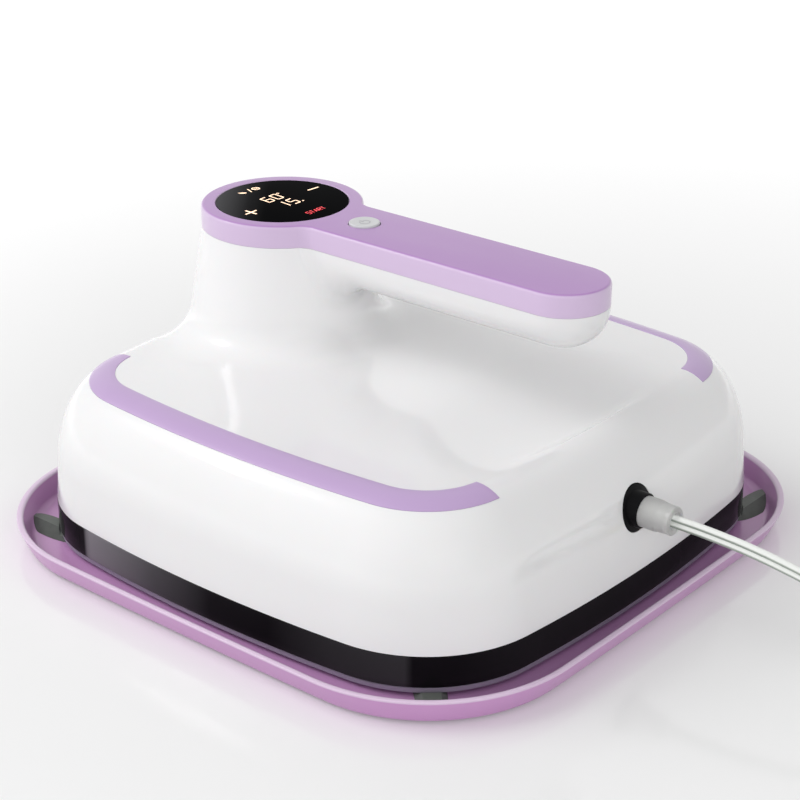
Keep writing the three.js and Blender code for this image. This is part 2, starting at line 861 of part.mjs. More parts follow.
let tray = loftSolid([
  trayRing(footProud, trayFootEdge),
  trayRing(footProud + trayFootEdge / 3, trayFootEdge / 3),
  trayRing(footProud + trayFootEdge, 0),
  trayRing(rimTop - trayEdge, 0),
  trayRing(rimTop, trayEdge),
]).subtract(trayHollow(0));

const trayFeet = [];
for (let i = 0; i < 4; i += 1) {
  const place = outlinePoint(trayArcs(footProud), footInset, i, 1 / 2, true);
  const pocket = disc(footRadius + gap, footProud - over, footThickness + gap);
  const foot = disc(footRadius, 0, footThickness);
  tray = tray.subtract(at(pocket, place.x, place.y, 0));
  trayFeet.push(mesh(`tray_foot_${i + 1}`, at(foot, place.x, place.y, 0), 'rubber'));
}

// A pointed leaf between two equal arcs, long axis along X
function leaf(halfLength, halfWidth, shift, z) {
  const radius = (halfLength ** 2 + halfWidth ** 2) / (2 * halfWidth);
  const spread = Math.asin(halfLength / radius);
  const points = [];
  for (const side of [1, -1]) {
    for (let i = 0; i < padSteps; i += 1) {
      const angle = THREE.MathUtils.lerp(spread, -spread, i / padSteps);
      const x = shift + side * radius * Math.sin(angle);
      const y = side * (radius * Math.cos(angle) - radius + halfWidth);
      points.push(new THREE.Vector3(x, y, z));
    }
  }
  return points;
}

// Each pad carries the plate's corner on a thin seat and stops the skirt with a lip
const padTip = outlinePoint(trayArcs(trayTop), trayWall + padTipInset, 0, 1 / 2, true).length();
const padMiddle = padTip - padLength / 2;
const skirtRoom = loftSolid([
  bodyRing(-padClearance, trayTop + padSeat),
  bodyRing(-padClearance, rimTop + padHeight),
]);
const pads = [];
for (let i = 0; i < 4; i += 1) {
  const topLength = padLength / 2 - padTaper / 2;
  const base = leaf(padLength / 2, padWidth / 2, padMiddle, trayTop);
  const top = leaf(topLength, padWidth / 2 - padTaper, padMiddle + padLean, trayTop + padHeight);
  const axis = new THREE.Vector3(0, 0, 1);
  const turn = quarter * (i + 1 / 2);
  const rings = [base, top].map((ring) => ring.map((p) => p.applyAxisAngle(axis, turn)));
  const pad = loftSolid(rings).intersect(trayHollow(gap)).subtract(skirtRoom);
  pads.push(mesh(`corner_pad_${i + 1}`, pad, 'pad'));
}

// Skirt, seal, plate and the stack on it

const tongueInset = housingWall + gap;
const shelfBottom = skirtTop - shelfThickness;
const skirt = loftSolid([
  bodyRing(skirtEdge, skirtBottom),
  bodyRing(0, skirtBottom + skirtEdge),
  bodyRing(0, skirtTop),
]).subtract(loftSolid([
  bodyRing(skirtWall, skirtBottom - over),
  bodyRing(skirtWall, shelfBottom),
])).subtract(loftSolid([
  bodyRing(shelfReach, skirtBottom),
  bodyRing(shelfReach, skirtTop + over),
])).add(band(tongueInset, tongueInset + tongueThickness, shelfBottom, skirtTop + tongueHeight));

const seal = band(sealInset, skirtOverhang - gap, sealBottom, sealTop);

const fixings = [];
for (let i = 0; i < 4; i += 1) fixings.push(outlinePoint(bodyArcs, fixingInset, i, 1 / 2, true));

let plate = loftSolid([
  bodyRing(skirtOverhang + plateEdge, plateBottom),
  bodyRing(skirtOverhang, plateBottom + plateEdge),
  bodyRing(skirtOverhang, plateTop),
]);
const padInset = shelfReach + insulationMargin;
let insulation = loftSolid([
  innerRing(padInset, insulationBottom),
  innerRing(padInset, insulationTop),
]);
let shield = loftSolid([innerRing(shieldInset, shieldBottom), innerRing(shieldInset, shieldTop)]);
const spacers = [];
const screws = [];
fixings.forEach(({ x, y }, i) => {
  const bore = screwRadius + gap;
  const seat = shieldTop + gap;
  const pit = disc(bore, plateTop - screwBite - gap, plateTop + over, smallSteps);
  const passage = disc(spacerRadius + gap, plateTop, shieldTop, smallSteps);
  plate = plate.subtract(at(pit, x, y, 0));
  insulation = insulation.subtract(at(passage, x, y, 0));
  shield = shield.subtract(at(disc(bore, plateTop, shieldTop + over, smallSteps), x, y, 0));
  const spacer = tube(spacerRadius, bore, plateTop + gap, shieldBottom - gap, smallSteps);
  spacers.push(mesh(`spacer_${i + 1}`, at(spacer, x, y, 0), 'steel'));
  const screw = lathe([
    [0, plateTop - screwBite], [screwRadius, plateTop - screwBite], [screwRadius, seat],
    [screwHeadRadius, seat], [screwHeadRadius, seat + screwHeadHeight / 2],
    [screwRadius, seat + screwHeadHeight], [0, seat + screwHeadHeight],
  ], smallSteps);
  screws.push(mesh(`shield_screw_${i + 1}`, at(screw, x, y, 0), 'steel'));
});

// One heating tube bent back and forth over the plate
function elementRoute() {
  const points = [];
  const z = plateTop + gap + elementRadius;
  const half = elementRunLength / 2;
  const turn = elementPitch / 2;
  const firstX = (-elementPitch * (elementRuns - 1)) / 2;
  points.push(new THREE.Vector3(firstX, -half - elementTailLength, z));
  for (let run = 0; run < elementRuns; run += 1) {
    const x = firstX + elementPitch * run;
    const way = run % 2 === 0 ? 1 : -1;
    points.push(new THREE.Vector3(x, -half * way, z));
    points.push(new THREE.Vector3(x, half * way, z));
    if (run < elementRuns - 1) {
      for (let i = 1; i < elementBendSteps; i += 1) {
        const angle = (Math.PI * i) / elementBendSteps;
        const bendX = x + turn * (1 - Math.cos(angle));
        points.push(new THREE.Vector3(bendX, way * (half + turn * Math.sin(angle)), z));
      }
    }
  }
  const lastX = firstX + elementPitch * (elementRuns - 1);
  const lastWay = elementRuns % 2 === 0 ? -1 : 1;
  points.push(new THREE.Vector3(lastX, lastWay * (half + elementTailLength), z));
  return points;
}

// Rings of one section along a route. The section's first axis lies level and across.
function routeRings(route, section) {
  const upward = new THREE.Vector3(0, 0, 1);
  return route.map((point, i) => {
    const before = route[Math.max(i - 1, 0)];
    const after = route[Math.min(i + 1, route.length - 1)];
    const forward = after.clone().sub(before).normalize();
    const across = forward.clone().cross(upward).normalize();
    const rise = across.clone().cross(forward);
    return section.map(([u, v]) => (
      point.clone().addScaledVector(across, u).addScaledVector(rise, v)
    ));
  });
}

// A regular section whose flats touch a circle, with the halves drawn apart
function roundSection(radius, sides, apart) {
  const points = [];
  const corner = radius / Math.cos(Math.PI / sides);
  for (let i = 0; i < sides; i += 1) {
    const angle = (Math.PI * 2 * (i + 1 / 2)) / sides;
    const rise = Math.sin(angle);
    points.push([corner * Math.cos(angle), corner * rise + (Math.sign(rise) * apart) / 2]);
  }
  return points;
}

const element = loftSolid(routeRings(elementRoute(), roundSection(elementRadius, elementSides, 0)));

const onPlate = plateTop + gap;
const sensor = box(
  [-sensorWidth / 2, (sensorSpacing - sensorLength) / 2, onPlate],
  [sensorWidth / 2, (sensorSpacing + sensorLength) / 2, onPlate + sensorHeight],
);
const fuseRod = toGeometry(disc(fuseRadius, -fuseLength / 2, fuseLength / 2, smallSteps));
const fuse = toSolid(fuseRod.rotateX(quarter).translate(0, -sensorSpacing / 2, onPlate + fuseRadius));

// Electronics

let controlBoard = box(
  [-boardLength / 2, boardY - boardWidth / 2, boardHeight],
  [boardLength / 2, boardY + boardWidth / 2, boardHeight + boardThickness],
);
const boardScrews = [];
boardCorners.forEach(([x, y], i) => {
  const hole = disc(screwRadius + gap, boardHeight - over, bossBottom, smallSteps);
  controlBoard = controlBoard.subtract(at(hole, x, y, 0));
  const seat = boardHeight - gap;
  const screw = lathe([
    [0, seat - screwHeadHeight], [screwRadius, seat - screwHeadHeight],
    [screwHeadRadius, seat - screwHeadHeight / 2], [screwHeadRadius, seat],
    [screwRadius, seat], [screwRadius, bossBottom + screwBite], [0, bossBottom + screwBite],
  ], smallSteps);
  boardScrews.push(mesh(`board_screw_${i + 1}`, at(screw, x, y, 0), 'steel'));
});
const boardFace = boardHeight + boardThickness + gap;
const boardFront = boardY - boardWidth / 2 + componentMargin;
const relay = box(
  [boardLength / 4 - relayLength / 2, boardY - relayWidth / 2, boardFace],
  [boardLength / 4 + relayLength / 2, boardY + relayWidth / 2, boardFace + relayHeight],
);
const terminal = box(
  [portOffset - terminalLength / 2, boardFront - terminalWidth / 2, boardFace],
  [portOffset + terminalLength / 2, boardFront + terminalWidth / 2, boardFace + terminalHeight],
);
const sinkX = -boardLength / 4;
const sinkLow = [sinkX - sinkFin / 2, boardY - sinkLength / 2, boardFace];
const sinkHigh = [sinkX + sinkFin / 2, boardY + sinkLength / 2, boardFace + sinkHeight];
const sink = box(sinkLow, sinkHigh).subtract(box(
  [sinkLow[0] + sinkThickness, sinkLow[1] - over, boardFace + sinkThickness],
  [sinkHigh[0] - sinkThickness, sinkHigh[1] + over, sinkHigh[2] + over],
));

const displayBoard = at(disc(displayBoardRadius, electronicsBottom, electronicsTop), 0, columnY, 0);
const ledModule = box(
  [-moduleLength / 2, columnY - moduleWidth / 2, electronicsTop + gap],
  [moduleLength / 2, columnY + moduleWidth / 2, lensBottom - gap],
);
const switchBoard = box(
  [-switchBoardWidth / 2, buttonY - switchBoardLength / 2, electronicsBottom],
  [switchBoardWidth / 2, buttonY + switchBoardLength / 2, electronicsTop],
);
const switchTop = electronicsTop + gap + switchHeight;
const plunger = disc(plungerRadius, switchTop - plungerProud, switchTop + plungerProud, smallSteps);
const tactSwitch = box(
  [-switchSide / 2, buttonY - switchSide / 2, electronicsTop + gap],
  [switchSide / 2, buttonY + switchSide / 2, switchTop],
).add(at(plunger, 0, buttonY, 0));

const lensProfile = [[0, lensBottom], [lensRadius, lensBottom]];
for (let i = 0; i <= lensDomeSteps; i += 1) {
  const share = 1 - i / lensDomeSteps;
  lensProfile.push([lensRadius * share, coverTop + lensDome * (1 - share * share)]);
}
const lens = at(lathe(lensProfile), 0, columnY, 0);

const flangeTop = coverCeiling - gap;
const flangeBottom = flangeTop - buttonFlange;
const flangeRadius = buttonRadius + buttonFlangeReach;
const stemBottom = switchTop + plungerProud + buttonTravel + gap;
const buttonTop = coverTop + buttonProud;
const button = lathe([
  [0, stemBottom], [buttonStemRadius, stemBottom], [buttonStemRadius, flangeBottom],
  [flangeRadius, flangeBottom], [flangeRadius, flangeTop], [buttonRadius, flangeTop],
  [buttonRadius, buttonTop - buttonEdge], [buttonRadius - buttonEdge, buttonTop], [0, buttonTop],
]);

// Ribbon from the display board down the column and forward onto the control board
function ribbonSolid() {
  const endY = boardY + boardWidth / 2 - ribbonLanding;
  const backY = endY + ribbonLanding * 2 + ribbonBend;
  const middleZ = boardFace + ribbonThickness + ribbonBend;
  const side = (offset) => {
    const points = [[backY + offset, ribTop]];
    for (let i = 0; i <= ribbonBendSteps; i += 1) {
      const angle = (quarter * i) / ribbonBendSteps;
      const reach = ribbonBend + offset;
      points.push([backY - ribbonBend + reach * Math.cos(angle), middleZ - reach * Math.sin(angle)]);
    }
    points.push([endY, middleZ - ribbonBend - offset]);
    return points;
  };
  const loop = [...side(ribbonThickness), ...side(0).reverse()];
  const shape = new THREE.Shape(loop.map(([y, z]) => new THREE.Vector2(y, z)));
  const geometry = new THREE.ExtrudeGeometry(shape, { depth: ribbonWidth, bevelEnabled: false });
  const turn = new THREE.Matrix4().makeBasis(
    new THREE.Vector3(0, 1, 0), new THREE.Vector3(0, 0, 1), new THREE.Vector3(1, 0, 0),
  );
  return toSolid(geometry.applyMatrix4(turn).translate(-ribbonWidth / 2, 0, 0));
}

// Cord

const glandOuter = portRadius - gap;
const glandInner = glandOuter - glandWall;
const glandBack = bodyHalf - glandDepth;
const glandBore = collarRadius - glandWall;
const gland = alongY(lathe([
  [glandBore, glandBack], [glandOuter, glandBack], [glandOuter, bodyHalf + over],
  [glandInner, bodyHalf + over], [glandInner, glandBack + glandFloor],
  [glandBore, glandBack + glandFloor], [glandBore, glandBack],
])).intersect(outerBody);
const collarBack = glandBack + glandFloor + gap;
const collarFront = collarBack + collarLength;
const sleeve = alongY(lathe([
  [0, collarBack], [collarRadius, collarBack], [collarRadius, collarFront - sleeveEdge],
  [collarRadius - sleeveEdge, collarFront], [sleeveRadius, collarFront],
  [sleeveTipRadius, sleeveEnd - sleeveEdge], [sleeveTipRadius - sleeveEdge, sleeveEnd], [0, sleeveEnd],
]));

const halfFlat = (cordWidth / 2) * cordFlatShare;
const coilSection = [
  [cordThickness / 2, -halfFlat], [cordThickness / 2, halfFlat], [0, cordWidth / 2],
  [-cordThickness / 2, halfFlat], [-cordThickness / 2, -halfFlat], [0, -cordWidth / 2],
];
const leadSection = roundSection(cordThickness / 2, leadSides, cordWidth - cordThickness);
const leadPoints = leadRoute.map(([forward, up]) => new THREE.Vector3(portOffset, -forward, up));
const lead = loftSolid(routeRings(leadPoints, leadSection));

// The coil spirals in on the table, climbs in the half turn where it reverses and
// spirals out again on top of itself.
const coilTurns = coilLayerTurns + coilClimbTurns + coilLayerTurns;

function coilPlace(turn) {
  const climb = THREE.MathUtils.clamp((turn - coilLayerTurns) / coilClimbTurns, 0, 1);
  const outward = Math.max(0, turn - coilLayerTurns - coilClimbTurns);
  const inward = Math.min(turn, coilLayerTurns);
  const dip = coilClimbDip * Math.sin(Math.PI * climb) ** 2;
  const radius = coilOuterRadius + coilPitch * (outward - inward) - dip;
  const z = THREE.MathUtils.lerp(lowLayer, highLayer, THREE.MathUtils.smootherstep(climb, 0, 1));
  return { radius, z, angle: Math.PI + Math.PI * 2 * turn };
}

const coilPoints = [new THREE.Vector3(portOffset, coilY + coilLeadIn, lowLayer)];
const coilCount = Math.round(coilSteps * coilTurns);
const coilPlaces = [];
for (let i = 0; i <= coilCount; i += 1) {
  const { radius, z, angle } = coilPlace((coilTurns * i) / coilCount);
  coilPlaces.push({ radius, z });
  const x = coilX + radius * Math.cos(angle);
  coilPoints.push(new THREE.Vector3(x, coilY + radius * Math.sin(angle), z));
}
for (let i = 0; i <= tailSteps; i += 1) {
  const share = i / tailSteps;
  const y = THREE.MathUtils.lerp(coilY + cordWidth, coilY + tailLength - cordWidth, share);
  const z = THREE.MathUtils.lerp(highLayer, plugZ, THREE.MathUtils.smoothstep(share, 0, 1));
  coilPoints.push(new THREE.Vector3(plugX, y, z));
}
coilPoints.push(new THREE.Vector3(plugX, coilY + tailLength, plugZ));
const coil = loftSolid(routeRings(coilPoints, coilSection));

// Least gap between turns that lie beside or above each other at the same angle
let coilGap = coilMeanRadius;
for (let i = 0; i < coilPlaces.length; i += 1) {
  for (let j = i + coilSteps; j < coilPlaces.length; j += coilSteps) {
    const beside = Math.abs(coilPlaces[i].radius - coilPlaces[j].radius) - cordThickness;
    const above = Math.abs(coilPlaces[i].z - coilPlaces[j].z) - cordWidth;
    coilGap = Math.min(coilGap, Math.max(beside, above));
  }
}
console.log(`least gap between the cord coil's turns: ${coilGap.toFixed(2)} mm`);

// A flat band round the coil on the side that faces the tray
function tieSolid() {
  const crossing = 3 / 4;
  const side = tieWidth / 2;
  const wrap = tieThickness;
  const innermost = coilPlace(coilLayerTurns - 1 + crossing).radius - cordThickness / 2;
  const outermost = coilPlace(crossing).radius + cordThickness / 2;
  const curve = innermost - Math.sqrt(innermost * innermost - side * side);
  const drift = (coilPitch * side) / (Math.PI * 2 * innermost);
  const inner = innermost - curve - drift - gap;
  const outer = outermost + drift + gap;
  const low = coilBottom - gap;
  const high = highLayer + cordWidth / 2 + gap;
  return box([-side, inner - wrap, low - wrap], [side, outer + wrap, high + wrap])
    .subtract(box([-side - over, inner, low], [side + over, outer, high]));
}

// One ring of the plug: a round-cornered section across +Y
function plugRing(width, height, corner, y) {
  const points = [];
  for (let turn = 0; turn < 4; turn += 1) {
    const sx = turn === 0 || turn === 3 ? 1 : -1;
    const sz = turn < 2 ? 1 : -1;
    for (let i = 0; i <= plugCornerSteps; i += 1) {
      const angle = quarter * (turn + i / plugCornerSteps);
      points.push(new THREE.Vector3(
        sx * (width / 2 - corner) + corner * Math.cos(angle),
        y,
        sz * (height / 2 - corner) + corner * Math.sin(angle),
      ));
    }
  }
  return points;
}

const plugEnd = plugNeckLength + plugLength;
const neckEnd = plugNeckWidth + plugEdge;
const plugBody = loftSolid([
  plugRing(plugNeckWidth, plugNeckWidth, plugNeckCorner, 0),
  plugRing(neckEnd, neckEnd, plugNeckCorner, plugNeckLength - plugEdge),
  plugRing(plugWidth - plugEdge * 2, plugThickness - plugEdge * 2, plugCorner, plugNeckLength),
  plugRing(plugWidth, plugThickness, plugCorner, plugNeckLength + plugEdge * 2),
  plugRing(plugWidth, plugThickness, plugCorner, plugEnd - plugEdge),
  plugRing(plugWidth - plugEdge * 2, plugThickness - plugEdge * 2, plugCorner, plugEnd),
]);

function blade(x) {
  return box(
    [x - bladeThickness / 2, plugEnd + gap, -bladeWidth / 2],
    [x + bladeThickness / 2, plugEnd + gap + bladeLength, bladeWidth / 2],
  );
}

// Assembly

const trayGroup = new THREE.Group();
trayGroup.add(mesh('tray', tray, 'tray'), ...pads, ...trayFeet);

const tieGroup = new THREE.Group();
tieGroup.position.set(coilX, coilY, 0);
tieGroup.add(mesh('cord_tie', tieSolid(), 'rubber'));
const plugGroup = new THREE.Group();
plugGroup.position.set(plugX, plugY, plugZ);
plugGroup.add(
  mesh('plug_body', plugBody, 'cord'),
  mesh('plug_blade_1', blade(-bladeSpacing / 2), 'brass'),
  mesh('plug_blade_2', blade(bladeSpacing / 2), 'brass'),
);
const cordGroup = new THREE.Group();
cordGroup.add(mesh('cord_coil', coil, 'cord'), tieGroup, plugGroup);

const pressGroup = new THREE.Group();
const stripeDepth = stripeThickness - stripeProud;
pressGroup.add(
  mesh('housing', housing, 'white'),
  mesh('stripe_left', stripeSolid(-1, 0, stripeProud, stripeDepth), 'lilac'),
  mesh('stripe_right', stripeSolid(1, 0, stripeProud, stripeDepth), 'lilac'),
  mesh('handle_cover', coverSolid(), 'lilac'),
  mesh('display_lens', lens, 'black'),
  mesh('led_module', ledModule, 'black'),
  mesh('display_board', displayBoard, 'board'),
  mesh('switch_board', switchBoard, 'board'),
  mesh('tact_switch', tactSwitch, 'black'),
  mesh('skirt', skirt, 'black'),
  mesh('plate_seal', seal, 'grey'),
  mesh('heat_plate', plate, 'coating'),
  mesh('heating_element', element, 'steel'),
  mesh('insulation_pad', insulation, 'felt'),
  mesh('heat_shield', shield, 'steel'),
  mesh('temperature_sensor', sensor, 'clear'),
  mesh('thermal_fuse', fuse, 'steel'),
  mesh('control_board', controlBoard, 'board'),
  mesh('relay', relay, 'black'),
  mesh('terminal_block', terminal, 'grey'),
  mesh('heat_sink', sink, 'steel'),
  mesh('ribbon_cable', ribbonSolid(), 'grey'),
  mesh('cord_gland', gland, 'rubber'),
  mesh('strain_relief', sleeve, 'clear'),
  mesh('cord_lead', lead, 'cord'),
  ...spacers,
  ...screws,
  ...boardScrews,
);

const buttonGroup = new THREE.Group();
buttonGroup.position.set(0, buttonY, 0);
buttonGroup.add(mesh('power_button', button, 'white'));
pressGroup.add(buttonGroup);

const heatPress = new THREE.Group();
heatPress.add(trayGroup, cordGroup, pressGroup);

export default heatPress;
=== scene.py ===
import math

import bpy
import numpy as np
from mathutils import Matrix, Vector


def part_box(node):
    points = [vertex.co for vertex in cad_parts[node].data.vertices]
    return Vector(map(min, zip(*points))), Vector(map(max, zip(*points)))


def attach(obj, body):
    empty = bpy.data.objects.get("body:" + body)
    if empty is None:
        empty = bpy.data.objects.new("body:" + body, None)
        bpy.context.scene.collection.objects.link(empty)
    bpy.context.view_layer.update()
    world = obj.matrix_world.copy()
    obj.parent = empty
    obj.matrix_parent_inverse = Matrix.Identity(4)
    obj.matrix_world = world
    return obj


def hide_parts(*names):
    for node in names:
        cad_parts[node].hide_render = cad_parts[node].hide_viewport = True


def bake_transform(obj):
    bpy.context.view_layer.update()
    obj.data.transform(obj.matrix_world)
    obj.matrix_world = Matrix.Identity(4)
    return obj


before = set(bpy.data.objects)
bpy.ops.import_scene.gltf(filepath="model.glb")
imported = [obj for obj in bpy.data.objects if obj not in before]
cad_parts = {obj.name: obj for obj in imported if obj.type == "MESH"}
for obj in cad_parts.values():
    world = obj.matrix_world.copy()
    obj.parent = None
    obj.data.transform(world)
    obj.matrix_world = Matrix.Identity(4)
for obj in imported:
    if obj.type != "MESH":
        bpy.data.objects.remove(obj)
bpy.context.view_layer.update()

# A flat heat press in its storage tray. Lengths are in mm, and raw_mesh turns them into metres.
MM = 0.001
QUARTER, FULL_TURN = math.pi / 2, 2 * math.pi
UP = (0, 0, 1)

# Camera


def new_object(name, data):
    item = bpy.data.objects.new(name, data)
    bpy.context.scene.collection.objects.link(item)
    return item


def look_along(item, place, direction):
    """Puts a camera or a lamp in its place."""
    item.location = place
    item.rotation_mode = "QUATERNION"
    item.rotation_quaternion = direction.to_track_quat("-Z", "Y")


# Fitted to the outlines in the photo
AZIMUTH, ELEVATION = math.radians(-50.0), math.radians(24.03)
CAMERA_AIM, CAMERA_REACH, CAMERA_LENS = Vector((1.57, 3.57, 58.4)) * MM, 0.8936, 89.38
back = Vector((math.sin(AZIMUTH) * math.cos(ELEVATION),
               -math.cos(AZIMUTH) * math.cos(ELEVATION), math.sin(ELEVATION)))
camera_data = bpy.data.cameras.new("camera")
camera = new_object("camera", camera_data)
look_along(camera, CAMERA_AIM + back * CAMERA_REACH, -back)
camera_data.sensor_width = 36
camera_data.lens = CAMERA_LENS
camera_data.clip_start, camera_data.clip_end = 0.05, 40
bpy.context.scene.camera = camera
bpy.context.scene.view_settings.view_transform = "Standard"

# Mesh tools


def raw_mesh(name, points, faces):
    mesh = bpy.data.meshes.new(name)
    mesh.from_pydata([tuple(p) for p in np.asarray(points, float) * MM], [], faces)
    mesh.validate()
    return new_object(name, mesh)


def grid_faces(rows, count, joined):
    """Quads between rings of count points, and from the last ring to the first if joined."""
    faces = []
    for k in range(rows if joined else rows - 1):
        for j in range(count):
            a, b = k * count + j, k * count + (j + 1) % count
            step = ((k + 1) % rows - k) * count
            faces.append((a, b, b + step, a + step))
    return faces


def outward(item):
    """Turns the faces out if the closed mesh is inside out."""
    mesh = item.data
    mesh.calc_loop_triangles()
    tri = np.zeros(len(mesh.loop_triangles) * 3, np.int32)
    mesh.loop_triangles.foreach_get("vertices", tri)
    co = np.zeros(len(mesh.vertices) * 3)
    mesh.vertices.foreach_get("co", co)
    a, b, c = co.reshape(-1, 3)[tri.reshape(-1, 3)].transpose(1, 0, 2)
    if np.einsum("ij,ij->", a, np.cross(b, c)) < 0:
        mesh.flip_normals()
    return item


def loft(name, rings, joined=False):
    """A closed solid through rings with the same number of points, or a closed loop of them."""
    rings = np.asarray(rings, float)
    rows, count = rings.shape[:2]
    faces = grid_faces(rows, count, joined)
    if not joined:
        faces.append(tuple(range(count))[::-1])
        faces.append(tuple((rows - 1) * count + j for j in range(count)))
    return outward(raw_mesh(name, rings.reshape(-1, 3), faces))


def lathe(name, profile, steps=72, centre=(0, 0, 0), forward=False):
    """Turns (radius, height) pairs about +Z, or about -Y if forward."""
    angles = np.linspace(0, FULL_TURN, steps, endpoint=False)
    points, faces, rows = [], [], []
    closed = profile[0] == profile[-1]
    for radius, height in profile[:-1] if closed else profile:
        if radius < 1e-6:
            rows.append([len(points)] * steps)
            points.append((0, 0, height))
        else:
            rows.append(list(range(len(points), len(points) + steps)))
            points += [(radius * math.cos(t), radius * math.sin(t), height) for t in angles]
    if closed:
        rows.append(rows[0])
    for low, high in zip(rows, rows[1:]):
        for j in range(steps):
            turn = (j + 1) % steps
            face = tuple(dict.fromkeys((low[j], low[turn], high[turn], high[j])))
            if len(face) > 2:
                faces.append(face)
    points = np.array(points)
    if forward:
        points = np.stack([points[:, 0], -points[:, 2], points[:, 1]], 1)
    return outward(raw_mesh(name, points + np.array(centre), faces))


def cylinder(name, radius, low, high, steps, centre, forward=False):
    return lathe(name, [(0, low), (radius, low), (radius, high), (0, high)], steps, centre, forward)


def box_solid(name, low, high):
    x, y, z = zip(low, high)
    points = [(x[i], y[j], z[k]) for k in (0, 1) for j in (0, 1) for i in (0, 1)]
    faces = [(0, 2, 3, 1), (4, 5, 7, 6), (0, 1, 5, 4), (2, 6, 7, 3), (0, 4, 6, 2), (1, 3, 7, 5)]
    return outward(raw_mesh(name, points, faces))


def evaluated_mesh(item):
    graph = bpy.context.evaluated_depsgraph_get()
    return bpy.data.meshes.new_from_object(item.evaluated_get(graph))


def combine(item, tool, operation):
    """A boolean of two closed meshes, written into item. The tool goes."""
    modifier = item.modifiers.new("cut", "BOOLEAN")
    modifier.operation = operation
    modifier.object = tool
    modifier.solver = "MANIFOLD"
    mesh = evaluated_mesh(item)
    if len(mesh.vertices) == 0:
        modifier.solver = "EXACT"
        mesh = evaluated_mesh(item)
    item.modifiers.clear()
    item.data = mesh
    bpy.data.objects.remove(tool)
    return item


def cut(item, tool):
    return combine(item, tool, "DIFFERENCE")


def smooth(item, angle):
    item.data.polygons.foreach_set("use_smooth", [True] * len(item.data.polygons))
    item.data.set_sharp_from_angle(angle=math.radians(angle))
    return item


def bevel(item, width, segments, angle):
    modifier = item.modifiers.new("bevel", "BEVEL")
    modifier.width = width * MM
    modifier.segments = segments
    modifier.limit_method = "ANGLE"
    modifier.angle_limit = math.radians(angle)
    mesh = evaluated_mesh(item)
    item.modifiers.clear()
    item.data = mesh
    return item


def dress(item, body, look, replaced=()):
    """Gives a piece its look, body and slot, and hides the nodes that it stands in for."""
    item.data.materials.clear()
    item.data.materials.append(look)
    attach(item, body)
    if replaced:
        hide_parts(*replaced)
    return item


# Materials


def ranged(tree, source, low, high, to_low=0.0, to_high=1.0):
    """Maps a value from low..high to to_low..to_high."""
    node = tree.nodes.new("ShaderNodeMapRange")
    for name, value in (("From Min", low), ("From Max", high), ("To Min", to_low), ("To Max", to_high)):
        node.inputs[name].default_value = value
    tree.links.new(source, node.inputs["Value"])
    return node


def computed(tree, kind, operation, *sources):
    """A node of kind Math or VectorMath on some outputs."""
    node = tree.nodes.new("ShaderNode" + kind)
    node.operation = operation
    for source, socket in zip(sources, node.inputs):
        tree.links.new(source, socket)
    return node


def distance_along(tree, source, axis):
    """How far a vector reaches along an axis."""
    node = computed(tree, "VectorMath", "DOT_PRODUCT", source)
    node.inputs[1].default_value = axis
    return node.outputs["Value"]


def mixed(tree, share, base, over):
    """The colour over laid on base by a share."""
    node = tree.nodes.new("ShaderNodeMix")
    node.data_type = "RGBA"
    node.inputs[7].default_value = (*over, 1)
    tree.links.new(share, node.inputs[0])
    tree.links.new(base, node.inputs[6])
    return node.outputs[2]


def material(name, color, tint, rough=(0.3, 0.4), rough_scale=60, grain=2500, bump=0.02,
             metallic=0.0, coat=0.0, coat_rough=0.06, patch=18, painted_light=None, **sockets):
    """A surface with slow colour drift, handling haze in the gloss and a fine grain.

    The second tone is painted light, a paler painted highlight or a darker painted shade, laid on by the
    normal or the place: (colour, source, axis, start, stop).
    """
    look = bpy.data.materials.new(name)
    look.use_nodes = True
    tree = look.node_tree
    shader = tree.nodes["Principled BSDF"]
    where = tree.nodes.new("ShaderNodeTexCoord")

    def noise(scale, detail=3.0, roughness=0.5):
        node = tree.nodes.new("ShaderNodeTexNoise")
        node.inputs["Scale"].default_value = scale
        node.inputs["Detail"].default_value = detail
        node.inputs["Roughness"].default_value = roughness
        tree.links.new(where.outputs["Object"], node.inputs["Vector"])
        return node.outputs["Fac"]

    ramp = tree.nodes.new("ShaderNodeValToRGB")
    for stop, place, tone in zip(ramp.color_ramp.elements, (0.35, 0.65), (tint, color)):
        stop.position, stop.color = place, (*tone, 1)
    tree.links.new(noise(patch), ramp.inputs["Fac"])
    last = ramp.outputs["Color"]
    # Painted light: a paler or darker tone where the surface faces a way or stands at a height
    if painted_light:
        tone, source, axis, start, stop = painted_light
        facing = tree.nodes.new("ShaderNodeNewGeometry") if source == "Normal" else where
        turn = ranged(tree, distance_along(tree, facing.outputs[source], axis), start, stop)
        turn.interpolation_type = "SMOOTHSTEP"
        last = mixed(tree, turn.outputs["Result"], last, tone)
    tree.links.new(last, shader.inputs["Base Color"])
    haze = ranged(tree, noise(rough_scale, 4.0, 0.6), 0.3, 0.7, *rough)
    tree.links.new(haze.outputs["Result"], shader.inputs["Roughness"])
    relief = tree.nodes.new("ShaderNodeBump")
    relief.inputs["Strength"].default_value = 0.5
    relief.inputs["Distance"].default_value = bump * MM
    tree.links.new(noise(grain, 2.0), relief.inputs["Height"])
    tree.links.new(relief.outputs["Normal"], shader.inputs["Normal"])
    shader.inputs["Metallic"].default_value = metallic
    shader.inputs["Coat Weight"].default_value = coat
    shader.inputs["Coat Roughness"].default_value = coat_rough
    for socket, value in sockets.items():
        shader.inputs[socket.replace("_", " ")].default_value = value
    return look


